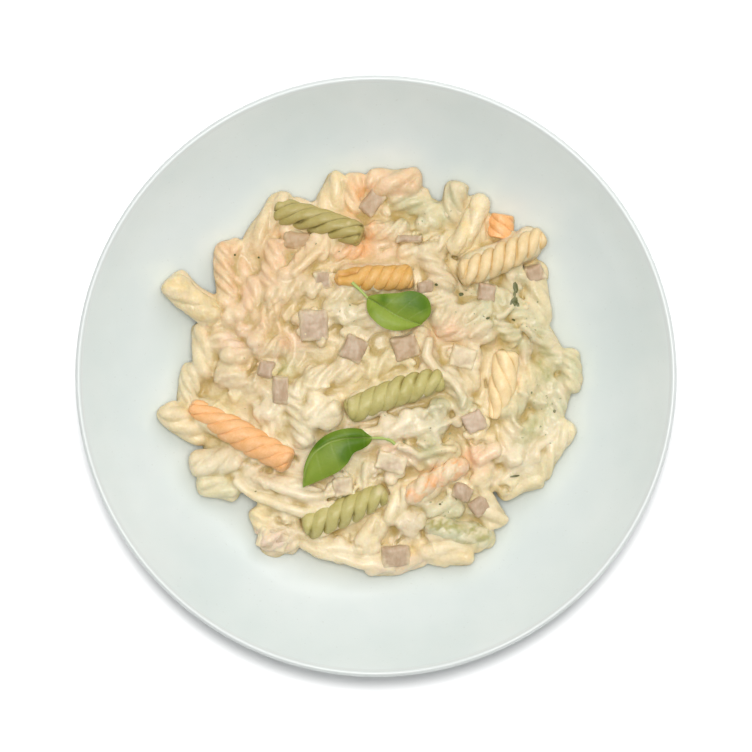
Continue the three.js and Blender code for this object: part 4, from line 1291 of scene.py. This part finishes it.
def tint_heap(heap, sources):
    """Colours each point by the piece that lies nearest under the sauce, and by how deep the point lies: painted
    shade on the far side and in the hollows, folds and gaps, and a painted highlight on the crests.
    """
    s = settings("sauce_settings")
    co = points_of(heap) / MM
    cream, painted_shade, crevice_shade = (np.array(c) for c in (s.cream, s.painted_shade, s.crevice_shade))
    breakup = blotches(co, random.Random(8), 3, 9)
    farthest = 9.0
    best = np.full(len(co), farthest)
    tone = np.tile(cream, (len(co), 1))
    chance = random.Random(3)
    patch = 0.6 * blotches(co, chance, 4, 9) + 0.5 * blotches(co, chance, 9, 24)
    for centre, direction, length, radius, dough in sources:
        off = np.linalg.norm(about_axis(co, centre, direction, length / 2)[1], axis=1) - radius
        nearer = off < best
        best = np.where(nearer, off, best)
        show = np.clip(0.15 + 0.85 * patch - 0.10 * off, 0.05, 0.95)
        hue = np.array((1, chance.uniform(0.985, 1.01), chance.uniform(0.92, 1.04)))
        mixed = blend(cream, DOUGH[dough], show) * chance.uniform(0.93, 1.03) * hue
        tone = np.where(nearer[:, None], mixed, tone)
    for x, y, radius, dough, share in DOUGH_SHOWING:
        show = np.clip(share * spot(co, x, y, radius) * (0.45 + 1.1 * breakup), 0, 0.95)
        tone = blend(tone, DOUGH[dough], show)
    tone = streaked(tone, co)
    # Painted shade: darker towards the far side of the heap.
    thin = ramp(co[:, 1], -15, 45)[:, None]
    tone = tone * (1 - thin * (1 - np.array(FAR_SIDE_SHADE)))
    wide = ramp(depth_below(co), 0.8, 5.5)
    fold = cavity(heap, 6)
    dell = cavity(heap, 30)
    # Painted shade in the hollows and low places of the heap.
    tone = blend(tone, painted_shade, 0.55 * np.clip(0.7 * wide + 0.6 * ramp(dell, 0.15, 1.1), 0, 1))
    # Painted shade in the folds, deeper where they lie in the hollows.
    deep = np.clip(0.85 * ramp(fold, 0.07, 0.30) * (0.35 + 0.65 * ramp(dell, 0.0, 0.8)) + 0.5 * wide ** 3, 0, 0.9)
    tone = blend(tone, crevice_shade, deep)
    # Painted shade in the deep gaps between the pieces, darkest in their middles.
    gap = gap_share(co)[:, None]
    tone = tone * (1 - 0.9 * gap) + crevice_shade * (1 - 0.45 * gap ** 3) * 0.9 * gap
    # A painted highlight: the crests a little lighter.
    tone = tone * (1 + 0.04 * ramp(-fold, 0.03, 0.20))[:, None]
    set_tint(heap, blurred(heap, tone, 2))


def drift(co, chance, amount, small, large):
    """Moves points about by a smooth random field, in millimetres, so that no form stays regular."""
    moved = co.copy()
    for axis in range(3):
        moved[:, axis] += amount * waves(co, chance, 6, small, large) / 2.4
    return moved


def streak_share(co, x, y, heading, length, width):
    """How far each point lies inside a long spot, from 0 to 1, with the length and width halved."""
    a = math.radians(heading)
    u = ((co[:, 0] - x) * math.cos(a) + (co[:, 1] - y) * math.sin(a)) / length
    v = ((co[:, 1] - y) * math.cos(a) - (co[:, 0] - x) * math.sin(a)) / width
    return np.exp(-(u ** 2 + v ** 2) ** 1.6)


def streaked(tone, co):
    """Lets streaks of dough show through the sauce."""
    ragged = drift(co, random.Random(41), 0.9, 2.5, 6)
    for *streak, dough, share in DOUGH_STREAKS:
        tone = blend(tone, DOUGH[dough], share * streak_share(ragged, *streak))
    return tone


def gap_share(co):
    """How far each point lies inside one of the deep gaps, which have ragged outlines, from 0 to 1."""
    share = np.zeros(len(co))
    co = drift(co, random.Random(31), 0.9, 2.5, 7)
    for x, y, heading, length, width, depth in CREVICES:
        share = np.maximum(share, depth * streak_share(co, x, y, heading, length, 0.75 * width))
    return share


def carve(co, depth):
    """Sinks the deep gaps between the pieces."""
    sunk = co.copy()
    sunk[:, 2] -= depth * gap_share(co)
    return sunk


def run_together(obj, depth, rounds):
    """Lets sauce stand in the hollows: raises them and smooths them over."""
    co = points_of(obj) / MM
    hollow = ramp(cavity(obj, 24), 0.10, 0.90)[:, None]
    co += points_of(obj, "normal") * hollow * depth
    for _ in range(rounds):
        co += (blurred(obj, co, 1) - co) * hollow
    set_points(obj, co * MM)


def set_tint(obj, tone):
    colour = obj.data.attributes.new("tint", "FLOAT_COLOR", "POINT")
    tone = np.hstack([np.clip(tone, 0, 1), np.ones((len(tone), 1))])
    colour.data.foreach_set("color", tone.astype(np.float32).ravel())


def blurred(obj, values, rounds):
    """Averages point values with those of their neighbours."""
    edges = np.empty(len(obj.data.edges) * 2, int)
    obj.data.edges.foreach_get("vertices", edges)
    a, b = edges[::2], edges[1::2]
    count = np.bincount(edges, minlength=len(values)).astype(float) + 1
    for _ in range(rounds):
        total = values.copy()
        for k in range(values.shape[1]):
            total[:, k] += np.bincount(a, values[b, k], len(values)) + np.bincount(b, values[a, k], len(values))
        values = total / count[:, None]
    return values


def cavity(obj, rounds):
    """How far each point lies behind its surroundings, in millimetres: over 0 in folds, under 0 on crests."""
    co = points_of(obj) / MM
    behind = blurred(obj, co, rounds) - co
    return blurred(obj, (behind * points_of(obj, "normal")).sum(axis=1)[:, None], 1)[:, 0]


def depth_below(co):
    """How far each point lies below the average height of the top around it, in millimetres."""
    size, reach = 192, 4
    ix, iy = (np.clip((co[:, axis] + size / 2).astype(int), 0, size - 1) for axis in (0, 1))
    top = np.full((size, size), np.nan)
    order = np.argsort(co[:, 2])
    top[ix[order], iy[order]] = co[order, 2]
    known = np.isfinite(top).astype(float)
    filled = np.nan_to_num(top)
    for axis in (0, 1):
        for _ in range(2):
            filled = sum(np.roll(filled, k, axis) for k in range(-reach, reach + 1))
            known = sum(np.roll(known, k, axis) for k in range(-reach, reach + 1))
    mean = filled / np.maximum(known, 1e-6)
    return mean[ix, iy] - co[:, 2]


class PASTA_OT_heap(bpy.types.Operator):
    """Lay the sauce-covered twists over the core and run the sauce over all of it"""
    bl_idname = "pasta.heap"
    bl_label = "Sauced Heap"

    def execute(self, context):
        s = settings("sauce_settings")
        depth = settings("twist_settings").coated_groove
        rod = blank_rod("coated_rod", 3, 4, 34, depth, SAUCED_END)
        ridged = blank_rod("ridged_rod", 5, 4, 34, 0.8 * depth, SAUCED_END)
        ball = new_shape("ico_sphere", subdivisions=3, radius=1)
        small_ball = new_shape("ico_sphere", subdivisions=2, radius=1)
        chance = random.Random(11)
        parts, sources = [core_of_heap()], []
        for x, y, heading, length, radius, dough, lead, lift in COATED_TWISTS:
            centre, direction = lie(x, y, heading, length, radius, lift)
            roll, bow = chance.uniform(0, 120), chance.uniform(-1, 1)
            source, turns = (ridged, 1.25 * lead) if lead < 32 else (rod, lead)
            parts.append(twist_from(source, "coated", centre, direction, length, radius, turns, bow, roll))
            footing = centre - Vector((0, 0, 0.85 * radius))
            parts.append(twist_from(rod, "footing", footing, direction, length * 0.94, radius, 400, bow, 0))
            sources.append((centre, direction, length, 0.8 * radius, dough))
        for radius, *path in SAUCE_FOLDS:
            parts += [sauce_ball(ball, x, y, radius, 3.4, 1.0) for x, y in fold_points(radius, path)]
        uneven = random.Random(23)
        for x, y, radius, rise in SAUCE_LUMPS:
            parts += uneven_lump(ball, x, y, radius, rise, uneven)
        parts += twist_beds(ball, rod)
        heap = join(parts, "sauced_heap")
        heap = join([heap] + curds(heap, small_ball, chance), "sauced_heap")
        discard(rod, ridged, ball, small_ball)
        reform(heap, s.detail, 0.5, s.smoothing)
        run_together(heap, 0.7, 8)
        set_points(heap, drift(points_of(heap) / MM, chance, 0.5, 13, 24) * MM)
        roughen(heap, "Sauce Unevenness", 0.009, 0.0009)
        set_points(heap, carve(points_of(heap) / MM, 2.4) * MM)
        finish_with(heap, "DECIMATE", ratio=min(1.0, HEAP_TRIANGLES / (2 * len(heap.data.polygons))))
        tint_heap(heap, sources)
        put_in_scene(heap, sauce_material(), 180, "sauced_pasta", "pasta_heap")
        return {"FINISHED"}


# ---------------------------------------------------------------- basil

# Each leaf's stalk, midrib and the edges to its left and right, seen from the stalk, from the blade's base to its
# tip, in millimetres. Then the height of the midrib at the same steps, how far each half stands up at its edge,
# how dark each half is painted as shade, and its patches of painted shade: [x, y, radius, depth].
LEAVES = {
    "basil_leaf_1": {
        "stalk": [(-10, 39), (-7, 36.2), (-3.5, 32.6)],
        "midrib": [(-3.5, 32.6), (-0.8, 31.2), (2.2, 29.3), (5, 27.4), (8, 25.5), (11, 24.0), (14, 22.9),
                   (16.6, 22.2), (18.6, 21.4)],
        "left": [(-3.5, 32.6), (-1.5, 33.6), (3.5, 34.2), (9, 34.5), (14.5, 35.4), (19.5, 34.0), (22.3, 30.8),
                 (22.5, 25.8), (18.6, 21.4)],
        "right": [(-3.5, 32.6), (-3.8, 29.0), (-2.8, 25.6), (-0.2, 22.6), (3, 20.2), (7, 19.1), (11, 19.2),
                  (15.2, 20.2), (18.6, 21.4)],
        "height": [0.4, 1.4, 2.2, 2.6, 2.6, 2.3, 1.8, 1.2, 0.6], "lift": (0.6, 1.0), "dark": (0.22, 0.05),
        "patches": [(14.5, 32.5, 5.5, 0.9), (19.5, 29, 4.0, 0.6), (3, 32.2, 2.6, 0.7), (-2.2, 27, 2.2, 0.35)],
    },
    "basil_leaf_2": {
        "stalk": [(8, -28.4), (4.6, -26.2), (-1.6, -25.9)],
        "midrib": [(-1.6, -25.9), (-5.5, -25.7), (-10, -25.8), (-14.5, -26.3), (-19, -27.5), (-23, -29.8),
                   (-26.5, -33), (-29, -38.5), (-30.4, -46.4)],
        "left": [(-1.6, -25.9), (-3, -28.4), (-5.8, -30.4), (-9.4, -32.2), (-12, -36.4), (-15.4, -39.6),
                 (-20, -42), (-25, -44.2), (-30.4, -46.4)],
        "right": [(-1.6, -25.9), (-3.4, -23.4), (-7, -22.1), (-12.5, -22), (-18.5, -23.6), (-23.5, -26.8),
                  (-27.2, -31.6), (-29.9, -38.5), (-30.4, -46.4)],
        "height": [0.6, 1.4, 2.2, 2.8, 3.0, 2.6, 1.8, 0.8, -0.4], "lift": (-0.8, -1.6), "dark": (0.32, 0.62),
        "patches": [(-7.5, -28.4, 4.2, 1.0), (-12.5, -34, 3.4, 0.55), (-24, -28, 3.0, 0.5), (-13, -30, 6.0, 0.3)],
    },
}


def along_path(path, t):
    """A point on a smooth line through some points, with t from 0 to 1."""
    n = len(path) - 1
    i = min(int(t * n), n - 1)
    f = t * n - i
    p = [np.array(path[max(0, min(n, j))], float) for j in (i - 1, i, i + 1, i + 2)]
    return 0.5 * (2 * p[1] + (p[2] - p[0]) * f + (2 * p[0] - 5 * p[1] + 4 * p[2] - p[3]) * f ** 2
                  + (3 * p[1] - p[0] - 3 * p[2] + p[3]) * f ** 3)


def leaf_base(node):
    """The height that a leaf's own heights start from."""
    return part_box(node)[0].z / MM + 1.2


def leaf_blade(node, leaf):
    """The leaf's blade as a grid between its midrib and its edges, cupped, with its veins pressed in."""
    base = leaf_base(node)
    blade = new_shape("grid", x_subdivisions=64, y_subdivisions=48, size=1)
    co = points_of(blade)
    painted_shade, vein, out = np.zeros(len(co)), np.zeros(len(co)), np.zeros_like(co)
    for i, (u, v, _) in enumerate(co):
        t, side = u + 0.5, 2 * v
        half = 0 if side > 0 else 1
        middle = along_path(leaf["midrib"], t)
        edge = along_path(leaf["left" if side > 0 else "right"], t)
        across = abs(side) ** 0.9
        width = float(np.linalg.norm(edge - middle))
        flat = middle + (edge - middle) * across
        z = base + along_path([(h,) for h in leaf["height"]], t)[0]
        narrow = min(1.0, width / 6)
        z += leaf["lift"][half] * narrow * across + 0.9 * math.sin(math.pi * across) * narrow
        z += 0.28 * math.sin(11 * t + 2.6 * side) * across ** 2
        stripe = abs(((t * 5.0 - 0.55 * across) % 1) - 0.5) * 2
        ribs = max(0.0, 1 - stripe / 0.13) * (1 - 0.8 * across) * (0.06 < t < 0.9)
        near = width * across
        vein[i] = max(max(0.0, 1 - near / 0.75) * (1 - 0.5 * t), 0.22 * ribs)
        # Painted shade: how dark each half and each patch of the leaf is painted.
        own = min(1.0, 0.5 + 0.5 * near / 1.2)
        painted_shade[i] = leaf["dark"][half] * own + leaf["dark"][1 - half] * (1 - own)
        for x, y, size, depth in leaf["patches"]:
            painted_shade[i] += depth * math.exp(-((flat[0] - x) ** 2 + (flat[1] - y) ** 2) / size ** 2)
        out[i] = (*flat, z - 0.25 * vein[i])
    set_points(blade, out * MM)
    store(blade, "painted_shade", painted_shade)
    store(blade, "vein", vein)
    finish_with(blade, "WELD", merge_threshold=MERGED)
    return finish_with(blade, "SOLIDIFY", thickness=0.0005, offset=0, use_even_offset=False)


def leaf_stalk(node, leaf):
    """The leaf's round stalk, thinner towards the blade."""
    base = leaf_base(node)
    stalk = new_shape("cylinder", vertices=10, radius=1, depth=1)
    with edit_mode(stalk):
        cut_sides(stalk, 14)
    co = points_of(stalk)
    out = np.zeros_like(co)
    path = leaf["stalk"]
    for i, (x, y, z) in enumerate(co):
        t = z + 0.5
        point, ahead = along_path(path, t), along_path(path, min(1.0, t + 0.02))
        back = along_path(path, max(0.0, t - 0.02))
        run = (ahead - back) / np.linalg.norm(ahead - back)
        radius = 0.75 - 0.2 * t + 0.35 * math.exp(-((t - 0.45) / 0.07) ** 2) * (node == "basil_leaf_2")
        out[i] = (point[0] - run[1] * x * radius, point[1] + run[0] * x * radius,
                  base + leaf["height"][0] * t + y * radius)
    set_points(stalk, out * MM)
    store(stalk, "painted_shade", 0.1)
    store(stalk, "vein", 0.8)
    with edit_mode(stalk):
        face_outwards()
    return stalk


class PASTA_OT_basil(bpy.types.Operator):
    """Shape the two basil leaves with their midribs, veins and stalks"""
    bl_idname = "pasta.basil"
    bl_label = "Basil"

    def execute(self, context):
        green = basil_material()
        for node, leaf in LEAVES.items():
            blade = join([leaf_blade(node, leaf), leaf_stalk(node, leaf)], node.replace("leaf", "blade"))
            put_in_scene(blade, green, 60, "basil", node)
        return {"FINISHED"}


# ---------------------------------------------------------------- herbs

# Places where herb flecks lie thicker: [x, y, spread, how many].
HERB_PATCHES = [
    [62, 22, 12, 16], [20, 70, 9, 8], [72, -8, 9, 10], [65, -26, 9, 9], [40, 28, 12, 9], [24, -24, 9, 7],
    [-14, 26, 9, 6], [30, -56, 8, 5], [-10, 48, 30, 6], [-50, -5, 24, 4], [-20, -50, 26, 4], [15, -5, 20, 5],
]

# Larger flecks: [x, y, turn in degrees, length, width].
HERB_LEAVES = [
    [58.5, 37.1, 98, 5.0, 2.3], [58.0, 33.8, 84, 3.8, 1.3], [57.7, 31.0, 60, 4.8, 3.2], [58.9, 30.2, 130, 3.2, 2.0],
    [46.8, 24.2, 20, 2.0, 1.1], [11.6, -27.6, 60, 1.8, 1.4],
    [25.2, 38.2, 0, 1.6, 1.2], [-59.2, 50.8, 0, 1.2, 1.0], [-49.2, 49.7, 0, 1.2, 0.9], [57.6, 23.6, 150, 1.8, 1.0],
    [74.8, -14.8, 60, 1.6, 1.3], [26.8, -53.6, 0, 1.2, 0.9], [35.6, 34.2, 10, 2.4, 1.6], [58, -42, 8, 4.8, 0.9],
]


class PASTA_OT_herbs(bpy.types.Operator):
    """Scatter the chopped herb over the sauce"""
    bl_idname = "pasta.herbs"
    bl_label = "Herbs"

    def execute(self, context):
        chance, lowest = random.Random(5), 0.022
        tree = BVHTree.FromObject(bpy.data.objects["sauced_heap"], context.evaluated_depsgraph_get())
        flake = new_shape("circle", vertices=7, radius=0.5, fill_type="NGON")
        with edit_mode(flake):
            extrude(0, 0, 0.3)
            resize_flat(0.75, 0.8)
            face_outwards()
        rows = [row + [chance.uniform(0.0, 0.2)] for row in HERB_LEAVES]
        for x, y, spread, count in HERB_PATCHES:
            for _ in range(count):
                size = chance.uniform(0.5, 1.3)
                rows.append([chance.gauss(x, spread / 2), chance.gauss(y, spread / 2), chance.uniform(0, 360),
                             size, size * chance.uniform(0.4, 0.8), chance.uniform(0.45, 0.95)])
        flakes = []
        for x, y, turn, length, width, pale in rows:
            point, normal = look_down(tree, x, y)
            if point is None or point.z < lowest:
                continue
            if length > 1.5:
                point, normal = point + 0.3 * MM * UP, (normal + 3 * UP).normalized()
            piece = copy_of(flake, "flake")
            lean = UP.rotation_difference(normal).to_matrix().to_4x4()
            piece.matrix_world = (Matrix.Translation(point) @ lean @ Matrix.Rotation(math.radians(turn), 4, "Z")
                                  @ Matrix.Diagonal((length * MM, width * MM, 0.5 * MM, 1)))
            store(piece, "pale", pale)
            flakes.append(piece)
        herbs = settle(join(flakes, "chopped_herbs"))
        discard(flake)
        put_in_scene(herbs, herb_material(), 40, "basil")
        return {"FINISHED"}


# ---------------------------------------------------------------- the stage


def area_light(name, place, size, power, colour, floor, on_floor):
    """A soft round lamp that looks at the bowl and lights either the floor alone or all but the floor."""
    bpy.ops.object.select_all(action="DESELECT")
    bpy.ops.object.light_add(type="AREA", location=place)
    light = bpy.context.object
    light.name = name
    light.data.shape = "DISK"
    light.data.size = size
    light.data.energy = power
    light.data.color = colour
    light.visible_camera = False
    light.rotation_euler = (Vector((0, 0, 0.03)) - Vector(place)).to_track_quat("-Z", "Y").to_euler()
    lit = bpy.data.collections.new(f"{name}_receivers")
    lit.objects.link(floor)
    lit.collection_objects[0].light_linking.link_state = "INCLUDE" if on_floor else "EXCLUDE"
    light.light_linking.receiver_collection = lit


class PASTA_OT_stage(bpy.types.Operator):
    """Set the pale floor, the soft lights and the camera over the bowl"""
    bl_idname = "pasta.stage"
    bl_label = "Stage"

    def execute(self, context):
        s = settings("stage_settings")
        floor = new_shape("plane", size=6)
        floor.name = floor.data.name = "studio_floor"
        floor.data.materials.append(floor_material())
        area_light("key_light", (0.34, 0.72, 0.95), 1.3, s.key, (1.0, 0.985, 0.975), floor, False)
        area_light("top_light", (0.0, 0.05, 1.6), 0.60, s.top, (1.0, 0.99, 0.975), floor, False)
        area_light("floor_light", (0.02, 0.47, 4.0), 0.60, s.floor, (1.0, 1.0, 1.0), floor, True)
        area_light("floor_fill", (0.0, 0.0, 1.6), 3.0, s.floor_fill, (1.0, 1.0, 1.0), floor, True)
        world = bpy.data.worlds.new("Soft Room")
        world.use_nodes = True
        set_sockets(world.node_tree.nodes["Background"], Color=(0.97, 0.99, 1.0, 1), Strength=s.sky)
        context.scene.world = world
        bpy.ops.object.camera_add(location=(0, 0, RIM_HEIGHT + s.camera_height), rotation=(0, 0, 0))
        camera = bpy.context.object
        camera.name = "overhead_camera"
        film = 36
        camera.data.sensor_width = film
        camera.data.lens = film * s.camera_height / s.field
        context.scene.camera = camera
        context.scene.view_settings.view_transform = "Standard"
        return {"FINISHED"}


# ---------------------------------------------------------------- the add-on

OPERATORS = [PASTA_OT_bowl, PASTA_OT_heap, PASTA_OT_twists, PASTA_OT_smoothed_twists, PASTA_OT_ham,
             PASTA_OT_basil, PASTA_OT_herbs, PASTA_OT_stage]


class PASTA_PT_panel(bpy.types.Panel):
    """Lists the pieces of the bowl of fusilli"""
    bl_idname = "PASTA_PT_panel"
    bl_label = "Fusilli Bowl"
    bl_space_type = "VIEW_3D"
    bl_region_type = "UI"
    bl_category = "Fusilli Bowl"

    def draw(self, context):
        for operator in OPERATORS:
            self.layout.operator(operator.bl_idname)
        for name, group in SETTINGS:
            box = self.layout.box()
            for key in group.__annotations__:
                box.prop(getattr(context.scene, name), key)


CLASSES = [group for _, group in SETTINGS] + OPERATORS + [PASTA_PT_panel]


def register():
    for cls in CLASSES:
        bpy.utils.register_class(cls)
    for name, group in SETTINGS:
        setattr(bpy.types.Scene, name, PointerProperty(type=group))


def unregister():
    for name, _ in SETTINGS:
        delattr(bpy.types.Scene, name)
    for cls in reversed(CLASSES):
        bpy.utils.unregister_class(cls)


def main():
    register()
    bpy.ops.pasta.bowl()
    bpy.ops.pasta.heap()
    bpy.ops.pasta.twists()
    bpy.ops.pasta.smoothed_twists()
    bpy.ops.pasta.ham()
    bpy.ops.pasta.basil()
    bpy.ops.pasta.herbs()
    bpy.ops.pasta.stage()


if __name__ == "__main__":
    main()
